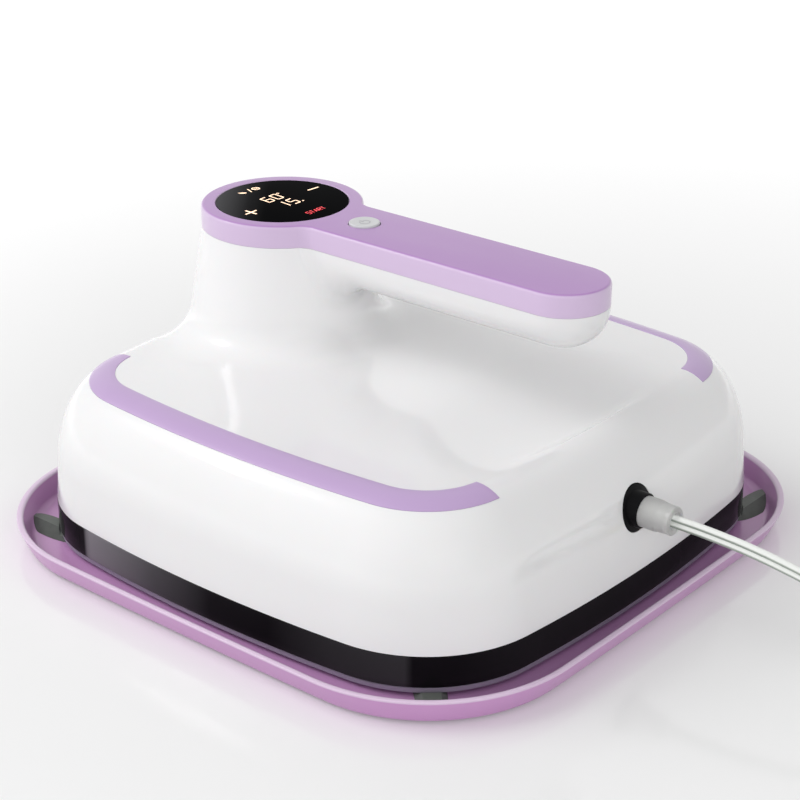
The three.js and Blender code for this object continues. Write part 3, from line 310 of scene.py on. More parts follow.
def lit(name, color, strength):
    """A lit mark behind the lens, slightly uneven, as a light guide is."""
    look = material(name, color, tuple(c * 0.965 for c in color), grain=900, bump=0.005, patch=400)
    tree = look.node_tree
    shader = tree.nodes["Principled BSDF"]
    glow = tree.nodes.new("ShaderNodeTexNoise")
    glow.inputs["Scale"].default_value = 500
    ramp = tree.nodes.new("ShaderNodeValToRGB")
    ramp.color_ramp.elements[0].color = (*(c * 0.72 for c in color), 1)
    ramp.color_ramp.elements[1].color = (*color, 1)
    tree.links.new(tree.nodes["Texture Coordinate"].outputs["Object"], glow.inputs["Vector"])
    tree.links.new(glow.outputs["Fac"], ramp.inputs["Fac"])
    tree.links.new(ramp.outputs["Color"], shader.inputs["Emission Color"])
    shader.inputs["Emission Strength"].default_value = strength
    return look


def sheen(look, grey, stops):
    """A soft grey reflection on a black part. stops: (metres towards the left of the photo, share)."""
    tree = look.node_tree
    shader = tree.nodes["Principled BSDF"]
    base = shader.inputs["Base Color"].links[0].from_socket
    leftward = distance_along(tree, tree.nodes["Texture Coordinate"].outputs["Object"], LEFTWARD)
    place = ranged(tree, leftward, -SHEEN_REACH, SHEEN_REACH)
    ramp = tree.nodes.new("ShaderNodeValToRGB")
    while len(ramp.color_ramp.elements) < len(stops):
        ramp.color_ramp.elements.new(0.5)
    for stop, (at, share) in zip(ramp.color_ramp.elements, stops):
        stop.position = (at + SHEEN_REACH) / (2 * SHEEN_REACH)
        stop.color = (share, share, share, 1)
    tree.links.new(place.outputs["Result"], ramp.inputs["Fac"])
    tree.links.new(mixed(tree, ramp.outputs["Color"], base, grey), shader.inputs["Base Color"])


LEFTWARD, SHEEN_REACH = (-0.643, 0.766, 0), 0.2
# Colours are linear. In order: colour, tint, roughness range, its scale, grain scale, grain depth in mm.
WHITE = material("white_shell", (0.86, 0.855, 0.86), (0.845, 0.84, 0.847), (0.17, 0.23), 20, 1500, 0.005,
                 coat=0.8, coat_rough=0.03, patch=9, Subsurface_Weight=0.05, Subsurface_Scale=0.003)
BUTTON = material("white_button", (0.66, 0.67, 0.68), (0.62, 0.63, 0.64), (0.30, 0.38), 120, 2500, 0.012,
                  coat=0.2)
# The cover's upright sides are paler: a painted sheen
LILAC = material("lilac_trim", (0.42, 0.205, 0.52), (0.405, 0.195, 0.505), (0.29, 0.34), 24, 1800, 0.006,
                 coat=0.5, coat_rough=0.05, patch=7,
                 painted_light=((0.66, 0.51, 0.725), "Normal", UP, 0.97, 0.55))
STRIPE = material("lilac_stripe", (0.52, 0.365, 0.62), (0.505, 0.35, 0.605), (0.30, 0.36), 30, 1800, 0.006,
                  coat=0.3, coat_rough=0.07, patch=8)
# The top of the tray's rim is paler: a painted highlight
TRAY = material("tray_plastic", (0.60, 0.315, 0.595), (0.585, 0.305, 0.58), (0.29, 0.36), 26, 1600, 0.008,
                coat=0.25, Specular_IOR_Level=0.35, patch=8,
                painted_light=((0.72, 0.56, 0.73), "Object", UP, 0.0112, 0.0119))
GLOSS = material("black_gloss", (0.004, 0.0038, 0.0044), (0.007, 0.0066, 0.0075), (0.08, 0.14), 20, 1500,
                 0.002, patch=5, Specular_IOR_Level=0.06)
sheen(GLOSS, (0.22, 0.211, 0.227),
      [(-0.19, 0.05), (-0.05, 0.04), (-0.02, 0), (-0.003, 0), (0.0, 0.13), (0.03, 0.09), (0.055, 0),
       (0.08, 0.02), (0.105, 0.33), (0.1372, 1.05), (0.1385, 0.03)])
LENS = material("black_lens", (0.002, 0.002, 0.0024), (0.003, 0.003, 0.0034), (0.08, 0.12), 60, 1800, 0.001,
                Specular_IOR_Level=0.001)
sheen(LENS, (0.085, 0.084, 0.088), [(0.062, 0), (0.070, 0.15), (0.085, 1)])
SATIN = material("black_plastic", (0.004, 0.004, 0.0045), (0.008, 0.008, 0.009), (0.3, 0.45), 200, 3000,
                 0.03, Specular_IOR_Level=0.06)
SEAL = material("seal_grey", (0.31, 0.28, 0.35), (0.27, 0.245, 0.31), (0.45, 0.6), 300, 2600, 0.03)
# The flanks that face -X and -Y are darker: painted shade
PAD = material("pad_rubber", (0.135, 0.148, 0.135), (0.122, 0.134, 0.122), (0.5, 0.68), 260, 1900, 0.05,
               painted_light=((0.068, 0.075, 0.068), "Normal", (-0.7, -0.7, 0), 0.08, 0.2))
FOOT = material("foot_rubber", (0.03, 0.03, 0.03), (0.022, 0.022, 0.022), (0.6, 0.8), 260, 1900, 0.08)
# Darker where the cord faces down and in the groove between its cores: painted shade
JACKET = material("cord_jacket", (0.84, 0.86, 0.83), (0.80, 0.82, 0.79), (0.28, 0.36), 220, 2600, 0.02,
                  coat=0.5, coat_rough=0.12, painted_light=((0.30, 0.35, 0.30), "Normal", UP, 0.30, -0.25))
PLUG = material("plug_plastic", (0.62, 0.64, 0.61), (0.58, 0.60, 0.57), (0.28, 0.36), 220, 2600, 0.02,
                coat=0.4, coat_rough=0.12)
TIE = material("tie_rubber", (0.02, 0.02, 0.022), (0.028, 0.028, 0.03), (0.55, 0.7), 300, 1600, 0.06)
CLEAR = material("clear_sleeve", (0.90, 0.90, 0.89), (0.84, 0.84, 0.83), (0.28, 0.36), 160, 1400, 0.02,
                 coat=0.3, Transmission_Weight=0.6, IOR=1.35)
BRASS = material("blade_brass", (0.62, 0.46, 0.20), (0.55, 0.40, 0.17), (0.22, 0.36), 700, 4000, 0.02,
                 metallic=1.0)
STEEL = material("steel", (0.56, 0.56, 0.58), (0.48, 0.48, 0.50), (0.26, 0.42), 500, 5000, 0.02,
                 metallic=1.0)
SINK = material("sink_aluminium", (0.62, 0.63, 0.65), (0.55, 0.56, 0.58), (0.3, 0.45), 500, 4200, 0.03,
                metallic=1.0)
COATING = material("plate_coating", (0.035, 0.034, 0.038), (0.055, 0.053, 0.058), (0.32, 0.5), 700, 5200,
                   0.05, metallic=0.3, patch=1500)
FELT = material("insulation_felt", (0.70, 0.67, 0.60), (0.60, 0.57, 0.50), (0.9, 1.0), 900, 1600, 0.5,
                patch=240, Sheen_Weight=0.4)
BOARD = material("board_green", (0.02, 0.11, 0.05), (0.015, 0.075, 0.035), (0.25, 0.42), 500, 1300, 0.03,
                 patch=320, coat=0.3)
RIBBON = material("ribbon_grey", (0.36, 0.36, 0.38), (0.29, 0.29, 0.31), (0.4, 0.55), 400, 900, 0.05,
                  patch=700)
PEACH = lit("lit_peach", (1.0, 0.72, 0.50), 1.35)
RED = lit("lit_red", (0.95, 0.05, 0.07), 1.1)
FAINT = material("faint_mark", (0.50, 0.49, 0.52), (0.46, 0.45, 0.48), (0.35, 0.5), 300, 2500, 0.01)

# Sizes, in mm

# As in the solids, but the column's slope and the width of its foot, which follow the photo closer
BODY_HALF, BODY_CROWN, BODY_CORNER = 131.0, 710, 57
SKIRT_LOW, SKIRT_TOP = 7.1, 21.1
HOUSING_LOW, HOUSING_TOP = 21.4, 128.35
COVER_LOW, COVER_TOP = 128.65, 138.4
SHOULDER_LOW, SHOULDER_TOP, SHOULDER_WIDE, SHOULDER_POWER = 38, 78.2, 26, 1.95
SIDE_LEAN = 0.09
SIDE_INSET = SIDE_LEAN * (SHOULDER_LOW - HOUSING_LOW)
WALL, HANDLE_WALL = 2.6, 2.4
COLUMN_Y, COLUMN_RADIUS, COLUMN_SLOPE = 71.8, 36.9, 0.165
FOOT_WIDE, FOOT_TALL, EDGE_ROOM, PAST_THE_EDGE = 17, 14, 13, 710.0
HANDLE_HALF, HANDLE_NECK, HANDLE_DEEP, HANDLE_POWER = 19.5, 9, 18, 2.25
HANDLE_END = COLUMN_Y - 156.8
# Where the headings round the column start, as a share of COLUMN_Y, and the shoulder's share of the room
# where it is narrow
CENTRE_SHARE, NARROW_SHARE = 0.45, 0.72
ROOT_RADIUS, ROOT_SHARE = 22, 0.975
HANDLE_ROOT = COLUMN_Y - COLUMN_RADIUS - ROOT_RADIUS
STRIPE_LOW, STRIPE_HIGH, STRIPE_FROM = 17.6, 29.0, 73.3
BUTTON_Y = COLUMN_Y - 49.2
CROWN_RISE, CROWN_WIDE = 2, 60
DISH_Y, DISH_HALF, DISH_DEEP = 51 - BODY_HALF, (73, 49), 5.5
LENS_RADIUS = 30
TRAY_TOP, TRAY_WALL, TRAY_CROWN, RIM_TOP, RIM_ROUND = 2.8, 3, 5200, 12.5, 0.9
TRAY_ROUND_IN, TRAY_ROUND_OUT = 2.4, 1.6
PORT_X, PORT_Z, PORT_RADIUS = -4.0, 49.4, 10.2
PORT = (PORT_X, 0, PORT_Z)


def lerp(a, b, t):
    return a + (b - a) * t


def smoothstep(x, low, high):
    t = np.clip((np.asarray(x, float) - low) / (high - low), 0, 1)
    return t * t * (3 - 2 * t)


def soft_limit(value, limit):
    """The value, bent so that it stays below the limit."""
    return value * (1 + (value / limit) ** 8) ** (-1 / 8)


def crowned_square(half, side, corner):
    """Arcs of a square of half its width, with side and corner as radii."""
    centre = side - half
    reach = side - corner
    middle = (math.sqrt(2 * reach * reach - centre * centre) - centre) / 2
    split = math.atan2(middle, middle + centre)
    return dict(side=side, corner=corner, far=centre, near=middle, split=split)


def outline(arcs, inset=0.0, side_steps=20, corner_steps=24):
    """Plan points of a crowned square, counter-clockwise from the middle of the +X side."""
    split, near = arcs["split"], arcs["near"]
    rows = []
    for turn in range(4):
        rows += [(lerp(-split, split, i / side_steps), arcs["side"], -arcs["far"], 0, turn)
                 for i in range(side_steps)]
        rows += [(lerp(split, QUARTER - split, i / corner_steps), arcs["corner"], near, near, turn)
                 for i in range(corner_steps)]
    angle, radius, cx, cy, turn = np.array(rows).T
    x = cx + (radius - inset) * np.cos(angle)
    y = cy + (radius - inset) * np.sin(angle)
    turned = turn * QUARTER
    return np.stack([x * np.cos(turned) - y * np.sin(turned),
                     x * np.sin(turned) + y * np.cos(turned)], 1)


def level(plan, z):
    return np.concatenate([plan, np.full((len(plan), 1), z)], 1)


BODY = crowned_square(BODY_HALF, BODY_CROWN, BODY_CORNER)


def body_ring(inset, z, side_steps=20, corner_steps=24):
    return level(outline(BODY, inset, side_steps, corner_steps), z)


def body_block(inset, low, high):
    return loft("block", [body_ring(inset, low), body_ring(inset, high)])


def inset_of(x, y):
    """How far a point in plan lies inside the body's edge."""
    ax, ay = np.abs(x), np.abs(y)
    angle = np.arctan2(ay - BODY["near"], ax - BODY["near"])
    corner = BODY["corner"] - np.hypot(ax - BODY["near"], ay - BODY["near"])
    sides = np.minimum(BODY["side"] - np.hypot(ax + BODY["far"], ay),
                       BODY["side"] - np.hypot(ax, ay + BODY["far"]))
    return np.where((angle > BODY["split"]) & (angle < QUARTER - BODY["split"]), corner, sides)


def shoulder_z(inset):
    share = np.clip((np.asarray(inset, float) - SIDE_INSET) / SHOULDER_WIDE, 0, 1)
    return lerp(SHOULDER_LOW, SHOULDER_TOP, (1 - (1 - share) ** SHOULDER_POWER) ** (1 / SHOULDER_POWER))


def roof_z(x, y):
    """The roof's height: the shoulder, a low crown and the dish under the handle."""
    inset = inset_of(x, y)
    crown = smoothstep(inset - SIDE_INSET - SHOULDER_WIDE, 0, CROWN_WIDE)
    across, along = x / DISH_HALF[0], (y - DISH_Y) / DISH_HALF[1]
    dish = np.maximum(0, 1 - across ** 2 - along ** 2) ** 2
    return shoulder_z(inset) + CROWN_RISE * crown - DISH_DEEP * dish * smoothstep(inset - 18, 0, 18)


def on_roof(x, y):
    return np.stack([x, y, roof_z(x, y)], 1)


def cone_radius(z):
    return COLUMN_RADIUS + COLUMN_SLOPE * (HOUSING_TOP - z)


def about_column(angle, radius):
    return radius * np.cos(angle), COLUMN_Y + radius * np.sin(angle)


def meridians(side_steps, corner_steps):
    """Headings round the column, where its foot meets the roof on each, and the shoulder's width there."""
    plan = outline(BODY, 0, side_steps, corner_steps)
    angle = np.arctan2(plan[:, 1] - COLUMN_Y * CENTRE_SHARE, plan[:, 0])
    near, far = np.zeros(len(plan)), np.full(len(plan), PAST_THE_EDGE)
    for _ in range(40):
        middle = (near + far) / 2
        inside = inset_of(*about_column(angle, middle)) > 0
        near, far = np.where(inside, middle, near), np.where(inside, far, middle)
    foot = soft_limit(cone_radius(SHOULDER_TOP) + FOOT_WIDE, near - EDGE_ROOM)
    x, y = about_column(angle, foot)
    return angle, x, y, soft_limit(SHOULDER_WIDE, NARROW_SHARE * inset_of(x, y) - SIDE_INSET)


def housing_rings(side_steps, corner_steps, shoulder, top, fillet, column):
    """Rings from the parting edge over the shoulder and roof up the column, with steps for each part."""
    angle, foot_x, foot_y, width = meridians(side_steps, corner_steps)
    rings = [level(outline(BODY, 0, side_steps, corner_steps), HOUSING_LOW)]
    for i in range(shoulder + 1):
        share = 1 - math.cos(QUARTER * i / shoulder) ** (2 / SHOULDER_POWER)
        inset = SIDE_INSET + width * share
        plan = outline(BODY, inset, side_steps, corner_steps)
        rings.append(np.concatenate([plan, shoulder_z(inset)[:, None]], 1))
    edge = rings[-1]
    for i in range(1, top + 1):
        rings.append(on_roof(lerp(edge[:, 0], foot_x, i / top), lerp(edge[:, 1], foot_y, i / top)))
    start, bend = on_roof(foot_x, foot_y), on_roof(*about_column(angle, cone_radius(SHOULDER_TOP)))
    end_z = bend[:, 2] + FOOT_TALL
    end = np.stack([*about_column(angle, cone_radius(end_z)), end_z], 1)
    for i in range(1, fillet + 1):
        t = i / fillet
        rings.append(start * (1 - t) ** 2 + bend * 2 * t * (1 - t) + end * t * t)
    high = level(np.stack(about_column(angle, COLUMN_RADIUS), 1), HOUSING_TOP)
    for i in range(1, column + 1):
        rings.append(lerp(end, high, i / column))
    return np.array(rings)


def inward(rings, wall):
    """The rings moved in along their normals, with the open ends run past the solid's."""
    along = np.roll(rings, -1, 1) - np.roll(rings, 1, 1)
    above = np.concatenate([rings[1:], rings[-1:]]) - np.concatenate([rings[:1], rings[:-1]])
    normal = np.cross(along, above)
    normal /= np.linalg.norm(normal, axis=2, keepdims=True)
    moved = rings - normal * wall
    moved[0][:, 2] = HOUSING_LOW - 2
    moved[-1][:, 2] = HOUSING_TOP + 2
    return moved


# Cord

# Places of the free stretch as (distance towards -Y, height); the first two lie in the strain relief
LEAD = [(132, 49.4), (140, 49.4), (148.6, 49.4), (158, 49.4), (168, 49.1), (178, 48.6), (188, 47.7),
        (198, 46.4), (208, 44.8), (217, 42.2), (226, 37.3), (234.2, 30.7), (241.6, 24), (249, 17.5),
        (256.2, 11.9), (263.4, 7.8), (270.4, 5.2), (276.8, 4.3), (283, 4.3)]
# The coil's middle, its outer radius, the radial step between turns and its number of turns
COIL_X, COIL_Y, COIL_RADIUS, COIL_PITCH, COIL_TURNS = 35.4, -296.1, 39.4, 3.6, 6.5
CLIMB_FROM, CLIMB_TURNS, CLIMB_DIP = 3, 0.5, 4.6
LOW_LAYER, HIGH_LAYER = 4.3, 10.8
PLUG_X, PLUG_Z = COIL_X + COIL_RADIUS, 8.1


def catmull(points, steps):
    """A smooth curve through the points."""
    points = np.asarray(points, float)
    padded = np.concatenate([[2 * points[0] - points[1]], points, [2 * points[-1] - points[-2]]])
    out = []
    for a, b, c, d in zip(padded, padded[1:], padded[2:], padded[3:]):
        for i in range(steps):
            t = i / steps
            out.append(0.5 * (2 * b + (c - a) * t + (2 * a - 5 * b + 4 * c - d) * t * t
                              + (3 * b - a - 3 * c + d) * t ** 3))
    return np.array(out + [points[-1]])


def coil_place(turn):
    """The coil winds in on the table, climbs and winds out on top."""
    climb = min(max((turn - CLIMB_FROM) / CLIMB_TURNS, 0), 1)
    wound = max(0, turn - CLIMB_FROM - CLIMB_TURNS) - min(turn, CLIMB_FROM)
    radius = COIL_RADIUS + COIL_PITCH * wound - CLIMB_DIP * math.sin(math.pi * climb) ** 2
    z = lerp(LOW_LAYER, HIGH_LAYER, climb ** 3 * (climb * (climb * 6 - 15) + 10))
    angle = math.pi + FULL_TURN * turn
    return (COIL_X + radius * math.cos(angle), COIL_Y + radius * math.sin(angle), z)


route = list(catmull([(PORT_X, -y, z) for y, z in LEAD], 4))
route += [(PORT_X, COIL_Y + 9, LOW_LAYER), (PORT_X, COIL_Y + 4.5, LOW_LAYER)]
route += [coil_place(COIL_TURNS * i / 312) for i in range(313)]
for share in np.linspace(0, 1, 13):
    y = lerp(COIL_Y + 5.8, COIL_Y + 24.2, share)
    route.append((PLUG_X, y, lerp(HIGH_LAYER, PLUG_Z, float(smoothstep(share, 0, 1)))))
route.append((PLUG_X, COIL_Y + 31.2, PLUG_Z))
route = np.array(route)


def sweep(name, path, section):
    """A tube of one section along a path, the section's second axis kept upright."""
    path = np.asarray(path, float)
    ahead = np.concatenate([path[1:], path[-1:]]) - np.concatenate([path[:1], path[:-1]])
    ahead /= np.linalg.norm(ahead, axis=1, keepdims=True)
    across = np.cross(ahead, [0, 0, 1.0])
    across /= np.linalg.norm(across, axis=1, keepdims=True)
    rise = np.cross(across, ahead)
    section = np.asarray(section, float)
    rings = path[:, None] + across[:, None] * section[None, :, :1] + rise[:, None] * section[None, :, 1:]
    return loft(name, rings)


def twin_section(radius=1.5, apart=1.4, waist=66, steps=13):
    """Two round cores side by side, joined at a waist given in degrees."""
    points = []
    for sign, start in ((1, -waist), (-1, 180 - waist)):
        for i in range(steps):
            angle = math.radians(start + (180 + 2 * waist) * i / (steps - 1))
            points.append((radius * math.cos(angle), sign * apart + radius * math.sin(angle)))
    return points


cord = smooth(sweep("power_cord", route, twin_section()), 60)
cord.data.materials.append(JACKET)
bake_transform(cord)
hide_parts("cord_lead", "cord_coil")

# Housing


def handle_section(y, inset, top):
    """Half a superellipse below the parting plane, wider and deeper towards the column."""
    half, neck = HANDLE_HALF - inset, HANDLE_NECK + inset
    neck_x = half + neck
    reach = COLUMN_RADIUS - inset + neck
    neck_y = COLUMN_Y - math.sqrt(reach ** 2 - neck_x ** 2)
    depth = HANDLE_DEEP - inset
    if y < HANDLE_END:
        share = min((HANDLE_END - y) / half, 1)
        wide = math.sqrt(max(half * half - (y - HANDLE_END) ** 2, 0))
        depth *= (1 - share ** 2.3) ** (1 / 2.3)
    else:
        rise = min(max(y - neck_y, 0), (COLUMN_Y - neck_y) * neck / reach)
        wide = neck_x - math.sqrt(neck * neck - rise * rise)
        run = min(max(y - HANDLE_ROOT, 0), ROOT_RADIUS * ROOT_SHARE)
        depth += ROOT_RADIUS - math.sqrt(ROOT_RADIUS ** 2 - run * run)
    points = []
    for angle in np.linspace(0, math.pi, 31):
        side = math.copysign(abs(math.cos(angle)) ** (2 / HANDLE_POWER), math.cos(angle))
        drop = abs(math.sin(angle)) ** (2 / HANDLE_POWER)
        points.append((wide * side, y, HOUSING_TOP - depth * drop))
    if top > HOUSING_TOP:
        points = [(wide, y, top)] + points + [(-wide, y, top)]
    return points


def handle_solid(name, inset, top):
    """The handle from its round end into the column, below the parting plane and up to top."""
    half = HANDLE_HALF - inset
    places = [HANDLE_END - half * math.sin(QUARTER * i / 16) for i in range(15, 0, -1)]
    places += list(np.linspace(HANDLE_END, HANDLE_ROOT, 30))
    places += [HANDLE_ROOT + ROOT_RADIUS * ROOT_SHARE * math.sin(QUARTER * i / 18) for i in range(1, 19)]
    places += list(np.linspace(HANDLE_ROOT + ROOT_RADIUS, COLUMN_Y - 8, 10))
    return loft(name, [handle_section(y, inset, top) for y in places])


def relax(item, region, sharp=14, reach=7.0, rounds=26):
    """Rounds the crease where two bodies were joined, inside region."""
    mesh = item.data
    co = np.zeros(len(mesh.vertices) * 3)
    mesh.vertices.foreach_get("co", co)
    co = co.reshape(-1, 3) / MM
    normals = np.zeros(len(mesh.polygons) * 3)
    mesh.polygons.foreach_get("normal", normals)
    normals = normals.reshape(-1, 3)
    owners = {}
    for index, polygon in enumerate(mesh.polygons):
        for key in polygon.edge_keys:
            owners.setdefault(key, []).append(index)
    limit = math.cos(math.radians(sharp))
    crease = set()
    for (a, b), faces in owners.items():
        if len(faces) == 2 and normals[faces[0]] @ normals[faces[1]] < limit:
            if region(co[a]) and region(co[b]):
                crease |= {a, b}
    edges = np.array(list(owners))
    away = np.linalg.norm(co[:, None] - co[sorted(crease)][None], axis=2).min(1)
    weight = 1 - smoothstep(away, 0, reach)
    weight *= np.array([1.0 if region(p) else 0.0 for p in co])
    for _ in range(rounds):
        total = np.zeros_like(co)
        count = np.zeros(len(co))
        np.add.at(total, edges[:, 0], co[edges[:, 1]])
        np.add.at(total, edges[:, 1], co[edges[:, 0]])
        np.add.at(count, edges.ravel(), 1)
        co += (total / count[:, None] - co) * (weight * 0.6)[:, None]
    mesh.vertices.foreach_set("co", (co * MM).ravel())
    mesh.update()


housing = loft("housing_shell", housing_rings(20, 24, 20, 26, 14, 22))
combine(housing, handle_solid("handle_under", 0, HOUSING_TOP), "UNION")
# The crease lies where the handle's underside runs into the column
relax(housing, lambda p: 84 < p[2] < 127.6 and abs(p[0]) < 44 and -8 < p[1] < 62)


def stripe_ring(clearance, up, down, count=7):
    """Sections of a band on the shoulder, from down under its face to up over it, all round the body."""
    low, high = STRIPE_LOW - clearance, STRIPE_HIGH + clearance
    tops, bottoms = [], []
    for i in range(count):
        inset = lerp(low, high, i / (count - 1))
        slope = float(shoulder_z(inset + 1e-3) - shoulder_z(inset - 1e-3)) / 2e-3
        tilt = math.hypot(1, slope)
        z = float(shoulder_z(inset))
        tops.append(body_ring(inset - up * slope / tilt, z + up / tilt, 16, 28))
        bottoms.append(body_ring(inset + down * slope / tilt, z - down / tilt, 16, 28))
    return np.array(tops + bottoms[::-1]).transpose(1, 0, 2)


def stripe_solid(name, side, clearance, up, down):
    """The band's part on one side, past STRIPE_FROM."""
    outside = BODY_HALF + 2
    low, high = sorted((side * (STRIPE_FROM - clearance), side * outside))
    ring = loft(name, stripe_ring(clearance, up, down), joined=True)
    half = box_solid("half", (low, -outside, SHOULDER_LOW), (high, outside, SHOULDER_TOP + 3.8))
    return combine(ring, half, "INTERSECT")


for side in (-1, 1):
    cut(housing, stripe_solid("pocket", side, 0.05, 2, 0.95))
cut(housing, cylinder("port", PORT_RADIUS, 110, 140, 64, PORT, True))
cut(housing, loft("hollow", inward(housing_rings(8, 10, 8, 8, 5, 1), WALL)))
cut(housing, handle_solid("handle_hollow", HANDLE_WALL, HOUSING_TOP + 2))
cut(housing, body_block(WALL, HOUSING_LOW - 2, HOUSING_LOW + 5.3))
# Bosses of the control board, 1.2 mm into the roof
for x, y in ((-40, -43), (-40, 3), (40, -43), (40, 3)):
    top = float(roof_z(np.array(x), np.array(y))) - WALL + 1.2
    profile = [(2.1, 44.9), (3.8, 44.9), (3.8, top), (2.1, top), (2.1, 44.9)]
    combine(housing, lathe("boss", profile, 20, (x, y, 0)), "UNION")
dress(smooth(housing, 32), "press", WHITE, ["housing"])

for side, label in ((-1, "left"), (1, "right")):
    stripe = stripe_solid("stripe_band_" + label, side, 0, 0.2, 0.75)
    dress(smooth(bevel(stripe, 0.16, 3, 50), 35), "press", STRIPE, ["stripe_" + label])

# Handle cover


def cover_outline(inset):
    """A disc and a handle with a round end, joined by two hollow arcs."""
    half, neck = HANDLE_HALF - inset, HANDLE_NECK + inset
    x = half + neck
    y = COLUMN_Y - math.sqrt((COLUMN_RADIUS - inset + neck) ** 2 - x * x)
    open_angle = math.atan2(COLUMN_Y - y, x)
    arcs = [(0, COLUMN_Y, COLUMN_RADIUS - inset, -open_angle, math.pi + open_angle, 96),
            (-x, y, neck, open_angle, 0, 14),
            (0, HANDLE_END, half, math.pi, FULL_TURN, 44),
            (x, y, neck, math.pi, math.pi - open_angle, 14)]
    points = []
    for cx, cy, radius, start, end, steps in arcs:
        last = steps if radius == half else steps - 1
        for i in range(last + 1):
            angle = lerp(start, end, i / steps)
            points.append((cx + radius * math.cos(angle), cy + radius * math.sin(angle)))
    return np.array(points)


def quarter_round(radius, steps):
    """Steps round an edge as two distances, one from 0 to the radius and one from the radius to 0."""
    angles = [QUARTER * i / steps for i in range(steps + 1)]
    return [(radius * (1 - math.cos(a)), radius * (1 - math.sin(a))) for a in angles]


def countersunk(name, radius, low, chamfer, y):
    """A hole's tool that widens where it leaves the cover's face."""
    profile = [(0, low), (radius, low), (radius, COVER_TOP - chamfer), (radius + chamfer, COVER_TOP),
               (radius + 2 * chamfer, 141), (0, 141)]
    return lathe(name, profile, 96, (0, y, 0))


LENS_SEAT, LENS_HOLE, BUTTON_HOLE, HOLE_LOW = 136.9, 27.4, 7.2, 134
rings = [level(cover_outline(0.1), HOUSING_TOP + 0.05), level(cover_outline(0), HOUSING_TOP + 0.15)]
rings += [level(cover_outline(inset), COVER_TOP - drop) for inset, drop in quarter_round(1.6, 8)]
cover = loft("cover_shell", rings)
inner = cover_outline(2.2)
cut(cover, loft("hollow", [level(inner, COVER_LOW - 2), level(inner, COVER_TOP - 2)]))
cut(cover, countersunk("lens_seat", LENS_RADIUS + 0.3, LENS_SEAT, 0.35, COLUMN_Y))
cut(cover, cylinder("lens_hole", LENS_HOLE, HOLE_LOW, HOLE_LOW + 5, 96, (0, COLUMN_Y, 0)))
cut(cover, countersunk("button_hole", BUTTON_HOLE, HOLE_LOW, 0.3, BUTTON_Y))
dress(smooth(cover, 32), "press", LILAC, ["handle_cover"])

# Display and button


def lens_z(radius):
    return COVER_TOP + 0.6 * (1 - (radius / LENS_RADIUS) ** 2)


profile = [(0, COVER_TOP - 1.2), (LENS_RADIUS, COVER_TOP - 1.2), (LENS_RADIUS, COVER_TOP - 0.1)]
for i in range(20):
    radius = (LENS_RADIUS - 0.1) * math.cos(QUARTER * i / 20)
    profile.append((radius, lens_z(radius)))
lens = lathe("lens_glass", profile + [(0, lens_z(0))], 96, (0, COLUMN_Y, 0))
dress(smooth(lens, 40), "press", LENS, ["display_lens"])

# A stem over the switch, a flange under the cover and a cap with a shallow dish
button_top = COVER_TOP + 0.8
STEM_RADIUS, FLANGE_RADIUS, BUTTON_RADIUS = 2, 8.2, 6.9
STEM_LOW, FLANGE_LOW, FLANGE_TOP = 134.15, 134.9, 136.1
profile = [(0, STEM_LOW), (STEM_RADIUS, STEM_LOW), (STEM_RADIUS, FLANGE_LOW),
           (FLANGE_RADIUS, FLANGE_LOW), (FLANGE_RADIUS, FLANGE_TOP), (BUTTON_RADIUS, FLANGE_TOP)]
profile += [(BUTTON_RADIUS - inset, button_top - drop) for inset, drop in quarter_round(0.6, 5)]
profile += [(5.2, button_top - 0.12), (3.2, button_top - 0.22), (0, button_top - 0.26)]
button = lathe("button_cap", profile, 64, (0, BUTTON_Y, 0))
dress(smooth(button, 40), "power_button", BUTTON, ["power_button"])


MARK_THICK = 0.03


def marks(name, polygons, height, body, look):
    """Thin flat marks from convex plan polygons that lie on a surface."""
    points, faces = [], []
    for polygon in polygons:
        first, count = len(points), len(polygon)
        for lift in (0.0, MARK_THICK):
            points += [(x, y, height(x, y) + lift) for x, y in polygon]
        faces.append(tuple(first + i for i in range(count))[::-1])
        faces.append(tuple(first + count + i for i in range(count)))
        for i in range(count):
            turn = (i + 1) % count
            faces.append((first + i, first + turn, first + count + turn, first + count + i))
    dress(raw_mesh(name, points, faces), body, look)


def bar(x0, y0, x1, y1, width, taper=0.35):
    """A stroke with ends pointed by taper, as a polygon."""
    dx, dy = x1 - x0, y1 - y0
    length = math.hypot(dx, dy)
    ux, uy = dx / length, dy / length
    half = width / 2
    tip = min(half * taper * 2, length / 3)
    shape = [(0, 0), (tip, -half), (length - tip, -half), (length, 0), (length - tip, half), (tip, half)]
    return [(x0 + ux * s - uy * t, y0 + uy * s + ux * t) for s, t in shape]


def arc(cx, cy, radius, start, end, width, steps):
    """A curved stroke, as a row of polygons."""
    pieces = []
    for i in range(steps):
        a, b = lerp(start, end, i / steps), lerp(start, end, (i + 1) / steps)
        pieces.append([(cx + r * math.cos(t), cy + r * math.sin(t))
                       for r, t in ((radius - width / 2, a), (radius + width / 2, a),
                                    (radius + width / 2, b), (radius - width / 2, b))])
    return pieces


# Bars of a digit: a on top, then clockwise to f, and g in the middle
SEGMENTS = {"0": "abcdef", "1": "bc", "5": "acdfg", "6": "acdefg"}
DIGIT_TALL, DIGIT_STROKE, DIGIT_LEAN = 6.6, 0.62, 0.09


def digit(text, cx, cy, wide=3.5):
    """One digit of seven bars, slanted a little."""
    w, h = wide / 2, DIGIT_TALL / 2
    places = {"a": (-w, h, w, h), "b": (w, h, w, 0), "c": (w, 0, w, -h), "d": (-w, -h, w, -h),
              "e": (-w, 0, -w, -h), "f": (-w, h, -w, 0), "g": (-w, 0, w, 0)}
    return [bar(cx + x0 + DIGIT_LEAN * y0, cy + y0, cx + x1 + DIGIT_LEAN * y1, cy + y1, DIGIT_STROKE)
            for x0, y0, x1, y1 in (places[key] for key in SEGMENTS[text])]


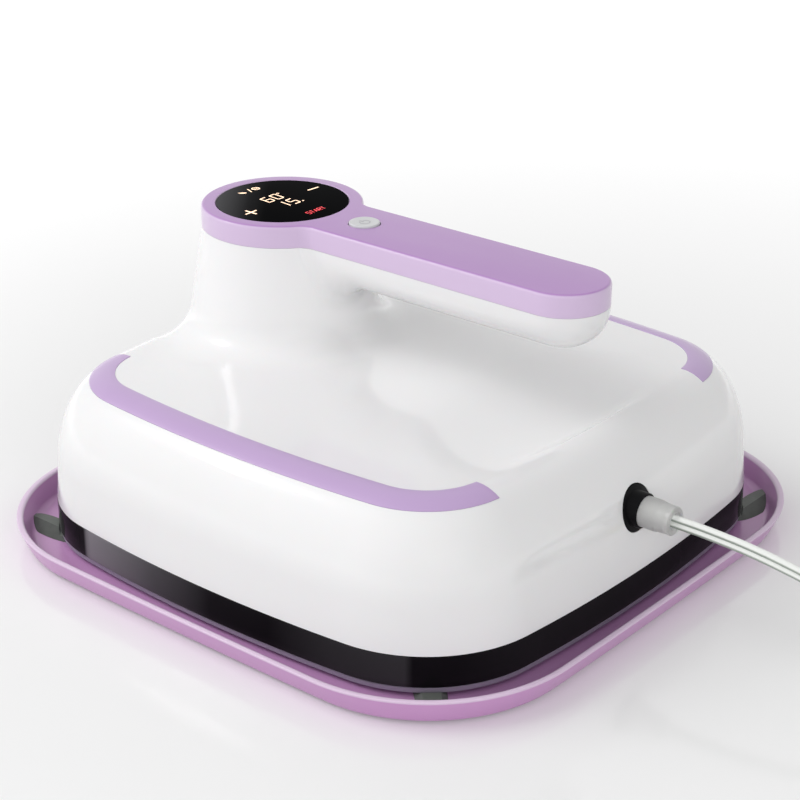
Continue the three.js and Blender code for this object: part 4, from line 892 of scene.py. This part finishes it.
# Strokes of the letters in a unit square
STROKES = {"S": [(1, 1, 0, 1), (0, 1, 0, .5), (0, .5, 1, .5), (1, .5, 1, 0), (1, 0, 0, 0)],
           "T": [(0, 1, 1, 1), (.5, 1, .5, 0)],
           "A": [(0, 0, .5, 1), (.5, 1, 1, 0), (.22, .36, .78, .36)],
           "R": [(0, 0, 0, 1), (0, 1, 1, 1), (1, 1, 1, .5), (1, .5, 0, .5), (.35, .5, 1, 0)]}


def word(text, cx, cy, wide, tall, pitch, width):
    """A word in strokes, in the middle of its place."""
    out = []
    for k, letter in enumerate(text):
        x = cx + (k - (len(text) - 1) / 2) * pitch - wide / 2
        for x0, y0, x1, y1 in STROKES[letter]:
            out.append(bar(x + x0 * wide, cy + (y0 - .5) * tall, x + x1 * wide, cy + (y1 - .5) * tall,
                           width, 0.2))
    return out


def on_lens(x, y):
    return lens_z(math.hypot(x, y - COLUMN_Y)) + 0.01


# The two signs, the two lines of digits with a degree ring and a point
warm = [bar(-25.4, 70.4, -18.4, 70.4, 0.85, 0.1), bar(-21.9, 66.9, -21.9, 73.9, 0.85, 0.1),
        bar(17.4, 72.1, 24.6, 72.1, 0.85, 0.1)]
warm += digit("6", -5.0, 76.4) + digit("0", 0.9, 76.4) + arc(4.7, 79.2, 0.55, 0, FULL_TURN, 0.32, 12)
warm += digit("1", -4.9, 66.3, 2.6) + digit("5", 1.1, 66.3)
warm += [[(4.7 + 0.5 * math.cos(t), 63.4 + 0.5 * math.sin(t)) for t in np.linspace(0, 5.5, 8)]]
# The mode key: a leaf, a slash and a ring with two bars
warm += [bar(-0.9, 90.2, 1.0, 94.8, 0.55, 0.1)]
warm += [[(-5.9, 94.3), (-4.1, 92.8), (-3.0, 91.4), (-3.7, 90.8), (-5.0, 91.5), (-5.8, 92.7)]]
warm += arc(4.0, 92.4, 1.8, 0, FULL_TURN, 0.5, 24)
warm += [bar(2.6, y, 5.4, y, 0.35, 0.1) for y in (92.9, 91.9)]
marks("lit_marks", warm, on_lens, "press", PEACH)
marks("lit_start", word("START", -1.2, 50.2, 1.7, 2.7, 2.35, 0.3), on_lens, "press", RED)

symbol = arc(0, BUTTON_Y - 0.2, 2.3, math.radians(118), math.radians(422), 0.5, 30)
symbol += [bar(0, BUTTON_Y + 0.3, 0, BUTTON_Y + 2.9, 0.5, 0.2)]
marks("button_mark", symbol, lambda x, y: button_top - 0.19, "power_button", FAINT)

# Skirt, seal, tray and pads

SKIRT_WALL, SHELF_LOW, SHELF_EDGE = 3, 19.1, 12
TONGUE_OUT, TONGUE_IN, TONGUE_LOW, TONGUE_HIGH = 2.9, 4.9, 19.3, 26.1
rings = [body_ring(inset, SKIRT_LOW + up, 24, 28) for up, inset in quarter_round(0.8, 5)]
rings += [body_ring(0, z, 24, 28) for z in (10.5, 14, 17.5, SKIRT_TOP - 0.3)]
rings += [body_ring(0.3, SKIRT_TOP, 24, 28)]
skirt = loft("skirt_band", rings)
# A shelf under the housing, and a tongue that stands inside its wall
cut(skirt, body_block(SKIRT_WALL, SKIRT_LOW - 2, SHELF_LOW))
cut(skirt, body_block(SHELF_EDGE, SKIRT_LOW, SKIRT_TOP + 2))
tongue = [body_ring(TONGUE_OUT, TONGUE_LOW), body_ring(TONGUE_OUT, TONGUE_HIGH),
          body_ring(TONGUE_IN, TONGUE_HIGH), body_ring(TONGUE_IN, TONGUE_LOW)]
combine(skirt, loft("tongue", tongue, joined=True), "UNION")
dress(smooth(skirt, 32), "press", GLOSS, ["skirt"])

lip = [(0.8, 4.8), (0.8, 6.5), (1.1, 6.8), (3.7, 6.8), (3.7, 4.5), (1.1, 4.5)]
seal = loft("seal_lip", [body_ring(inset, z) for inset, z in lip], joined=True)
dress(smooth(seal, 40), "press", SEAL, ["plate_seal"])


def tray_ring(z, inset):
    """The tray's flared wall at a height."""
    share = (z - 1) / 11.5
    arcs = crowned_square(140 + 5.6 * share, TRAY_CROWN, lerp(64.5, 72.2, share))
    return level(outline(arcs, inset, 16, 32), z)


def tray_hollow(clearance):
    """The room inside the tray's wall, smaller all round by clearance."""
    wall = TRAY_WALL + clearance
    rings = [tray_ring(TRAY_TOP + up, wall + inset) for up, inset in quarter_round(TRAY_ROUND_IN, 8)]
    rings += [tray_ring(RIM_TOP - drop, wall - inset) for inset, drop in quarter_round(RIM_ROUND, 5)]
    rings.append(level(rings[-1][:, :2], RIM_TOP + 2))
    return loft("tray_hollow", rings)


rings = [tray_ring(1 + up, inset) for up, inset in quarter_round(TRAY_ROUND_OUT, 5)]
rings += [tray_ring(z, 0) for z in (5, 8)]
rings += [tray_ring(RIM_TOP - drop, inset) for inset, drop in quarter_round(RIM_ROUND, 5)]
tray = cut(loft("tray_shell", rings), tray_hollow(0))
low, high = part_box("tray_foot_1")
foot_x, foot_y = abs(low.x + high.x) / 2 / MM, abs(low.y + high.y) / 2 / MM
for sx, sy in ((-1, -1), (-1, 1), (1, -1), (1, 1)):
    cut(tray, cylinder("foot_pocket", 9.3, -1, 1.9, 40, (sx * foot_x, sy * foot_y, 0)))
dress(smooth(tray, 32), "tray", TRAY, ["tray"])


# Half a leaf's length and width, its rise, and how high over the tray's floor the press sits on it
PAD_LONG, PAD_WIDE, PAD_RISE, PAD_SEAT = 18.5, 6.7, 2.7, 1.2


def pad_section(share, outer):
    """Across a leaf at a share of its half length; outer is the side with the wide flank, or 0."""
    half = PAD_WIDE * (1 - abs(share) ** 2.2) ** 0.55
    rise = PAD_RISE * (1 - abs(share) ** 6) ** 0.5
    points = []
    for side in (1, 0.6, 0.3, 0.05, -0.3, -0.6, -0.8, -1):
        climb = min((1 - side) / 0.95, (1 + side) / 0.2) if outer else (1 - abs(side)) / 0.4
        points.append((side, TRAY_TOP + 0.05 + rise * min(climb, 1)))
    points += [(-0.5, TRAY_TOP), (0.5, TRAY_TOP)]
    return [(PAD_LONG * share, half * side * (outer or 1), z) for side, z in points]


# Middle of each leaf, the heading of its tip in degrees and its side with the wide flank
PADS = [(107.5, 107.5, 45, 0), (-113.6, 110.2, 90, 1), (-109.8, -105.2, 225, 0), (109.5, -119.2, 0, -1)]
for i, (x, y, heading, outer) in enumerate(PADS):
    rings = np.array([pad_section(share, outer) for share in np.sin(np.linspace(-1.45, 1.45, 31))])
    turn = math.radians(heading)
    along, across = rings[..., 0].copy(), rings[..., 1].copy()
    rings[..., 0] = x + along * math.cos(turn) - across * math.sin(turn)
    rings[..., 1] = y + along * math.sin(turn) + across * math.cos(turn)
    pad = combine(loft("pad_%d" % (i + 1), rings), tray_hollow(0.05), "INTERSECT")
    cut(pad, body_block(-0.35, TRAY_TOP + PAD_SEAT, RIM_TOP + 6))
    dress(smooth(bevel(pad, 0.3, 3, 40), 9), "tray", PAD, ["corner_pad_%d" % (i + 1)])

# Port

# The gland follows the housing's skin and has a thin lip round the strain relief
GLAND_RADIUS, GLAND_SEAT, GLAND_BORE = 9.9, 7.4, 5.2
GLAND_BACK, GLAND_STEP, GLAND_FRONT = 118, 120, 133
profile = [(GLAND_BORE, GLAND_BACK), (GLAND_RADIUS, GLAND_BACK), (GLAND_RADIUS, GLAND_FRONT),
           (GLAND_SEAT, GLAND_FRONT), (GLAND_SEAT, GLAND_STEP), (GLAND_BORE, GLAND_STEP),
           (GLAND_BORE, GLAND_BACK)]
gland = lathe("gland_ring", profile, 64, PORT, True)
combine(gland, loft("skin", housing_rings(20, 24, 20, 10, 4, 1)), "INTERSECT")
lip = lathe("lip", [(6.8, 124), (7.6, 124), (7.6, 132.0), (7.2, 132.5), (6.8, 132.5), (6.8, 124)], 64,
            PORT, True)
combine(gland, lip, "UNION")
dress(smooth(bevel(gland, 0.25, 2, 50), 40), "press", SATIN, ["cord_gland"])

end = 146.8
profile = [(3.6, 120.4), (6.7, 120.4), (6.7, 139.2), (6.5, 139.8), (6.3, 140.2), (6.3, 141.2)]
profile += [(lerp(6.3, 6.0, t), lerp(141.2, end - 1.6, t)) for t in (0.25, 0.5, 0.75, 1)]
profile += [(6.15, end - 1.3), (6.15, end - 0.4), (5.8, end), (3.9, end), (3.6, end - 0.4), (3.6, 120.4)]
sleeve = lathe("sleeve_body", profile, 64, PORT, True)
dress(smooth(sleeve, 40), "press", CLEAR, ["strain_relief"])

# Plug


def plug_ring(width, height, corner, y):
    """A rectangle with round corners across the plug, at a distance from its cord end."""
    points = []
    for turn, sx, sz in ((0, 1, 1), (1, -1, 1), (2, -1, -1), (3, 1, -1)):
        for i in range(10):
            angle = QUARTER * (turn + i / 9)
            points.append((PLUG_X + sx * (width / 2 - corner) + corner * math.cos(angle), COIL_Y + 30.3 + y,
                           PLUG_Z + sz * (height / 2 - corner) + corner * math.sin(angle)))
    return points


# Four ribs of the bend relief, then the body with a waist for the fingers
rings = [plug_ring(8.0, 8.0, 2.4, 0), plug_ring(8.4, 8.4, 2.6, 0.4)]
for k in range(4):
    y, size = 1.6 + k * 3.2, 8.4 + k * 0.34
    for wider, corner, ahead in ((0, 2.6, 0), (-1.3, 2.2, 0.5), (-1.3, 2.2, 1.5), (0.2, 2.6, 2.0)):
        rings.append(plug_ring(size + wider, size + wider, corner, y + ahead))
rings += [plug_ring(9.8, 9.8, 2.8, 14.6), plug_ring(14, 11, 4, 15.4)]
rings += [plug_ring(24 - 3.4 * less, 15.6 - 3 * less, 5, 16.2 + 3.4 * ahead)
          for ahead, less in quarter_round(1, 6)]
rings += [plug_ring(23.2, 14.9, 5, 26), plug_ring(22.9, 14.6, 5, 31), plug_ring(23.6, 15.2, 5, 38)]
rings += [plug_ring(24 - 2.8 * less, 15.6 - 2.8 * less, 5, 46 - 1.4 * behind)
          for less, behind in quarter_round(1, 5)]
plug = dress(smooth(loft("plug_shell", rings), 40), "tray", PLUG, ["plug_body"])

# Carried-over nodes

# By name, without the number at its end
LOOKS = {name: look for look, names in (
    (TIE, "cord_tie"), (BRASS, "plug_blade"), (COATING, "heat_plate"), (FELT, "insulation_pad"),
    (FOOT, "tray_foot"), (SINK, "heat_sink"), (RIBBON, "ribbon_cable"),
    (BOARD, "display_board switch_board control_board"),
    (SATIN, "led_module tact_switch temperature_sensor relay terminal_block"),
    (STEEL, "heating_element heat_shield thermal_fuse spacer shield_screw board_screw"),
) for name in names.split()}
for name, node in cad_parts.items():
    look = LOOKS.get(name.rstrip("_1234"))
    if look is not None and not node.hide_render:
        node.data.materials.clear()
        node.data.materials.append(look)

# Floor and light

# Glow of the floor near the object and past it, with the metres where it changes
FLOOR_GLOW, BACKDROP_GLOW, GLOW_FROM, GLOW_TO = 0.11, 0.36, 0.19, 0.7
# The room is a little darker on the side that the lamps leave
WORLD_LEFT, WORLD_RIGHT, WORLD_AXIS = 0.68, 0.34, (0.95, -0.31, 0)
FLOOR_HALF = 9000

corners = [(FLOOR_HALF * sx, FLOOR_HALF * sy, 0) for sx, sy in ((-1, -1), (1, -1), (1, 1), (-1, 1))]
floor = raw_mesh("floor", corners, [(0, 1, 2, 3)])
floor_look = material("floor", (0.84, 0.84, 0.84), (0.835, 0.835, 0.835), (0.10, 0.13), 3, 200, 0.001,
                      patch=2)
floor.data.materials.append(floor_look)


def seen_directly(tree):
    """1 where the camera, a mirror or clear plastic sees the surface, else 0."""
    path = tree.nodes.new("ShaderNodeLightPath")
    last = path.outputs["Is Camera Ray"]
    for ray in ("Is Glossy Ray", "Is Transmission Ray"):
        last = computed(tree, "Math", "MAXIMUM", last, path.outputs[ray]).outputs[0]
    return last


tree = floor_look.node_tree
shader = tree.nodes["Principled BSDF"]
shader.inputs["Emission Color"].default_value = (1, 1, 1, 1)
place = computed(tree, "VectorMath", "LENGTH", tree.nodes["Texture Coordinate"].outputs["Object"])
far = ranged(tree, place.outputs["Value"], GLOW_FROM, GLOW_TO, FLOOR_GLOW, BACKDROP_GLOW)
glow = computed(tree, "Math", "MULTIPLY", seen_directly(tree), far.outputs["Result"])
tree.links.new(glow.outputs[0], shader.inputs["Emission Strength"])

world = bpy.data.worlds.new("studio")
bpy.context.scene.world = world
world.use_nodes = True
tree = world.node_tree
sky = tree.nodes["Background"]
sky.inputs["Color"].default_value = (1, 1, 1, 1)
where = tree.nodes.new("ShaderNodeTexCoord")
room = ranged(tree, distance_along(tree, where.outputs["Generated"], WORLD_AXIS), -0.8, 0.8,
              WORLD_LEFT, WORLD_RIGHT)
strength = ranged(tree, seen_directly(tree), 0, 1)
tree.links.new(room.outputs["Result"], strength.inputs["To Min"])
tree.links.new(strength.outputs["Result"], sky.inputs["Strength"])


def area(name, place, aim, size, size_y, power, mirrored):
    """A lamp that aims at a point. Only a mirrored one shows in gloss."""
    data = bpy.data.lights.new(name, "AREA")
    data.shape = "RECTANGLE"
    data.size, data.size_y = size, size_y
    data.energy = power
    item = new_object(name, data)
    look_along(item, place, Vector(aim) - Vector(place))
    item.visible_camera = False
    item.visible_glossy = mirrored
    return item


# The key lamp is high on the photo's left, the fill beside the camera
KEY = Vector((-0.42, 0.60, 0.68))
area("key", KEY * 2.1, (0, 0, 0.05), 1.5, 1.5, 17.5, False)
sparkle = area("sparkle", KEY * 1.9, (0, 0, 0.05), 0.42, 0.36, 3, True)
area("fill", (-1.15, -1.65, 0.7), (0, 0, 0.07), 1.3, 1.0, 12.5, False)

# The small lamp makes the highlights on the press and leaves the floor alone
left_out = bpy.data.collections.new("left_out")
left_out.objects.link(floor)
left_out.collection_objects[0].light_linking.link_state = "EXCLUDE"
sparkle.light_linking.receiver_collection = left_out
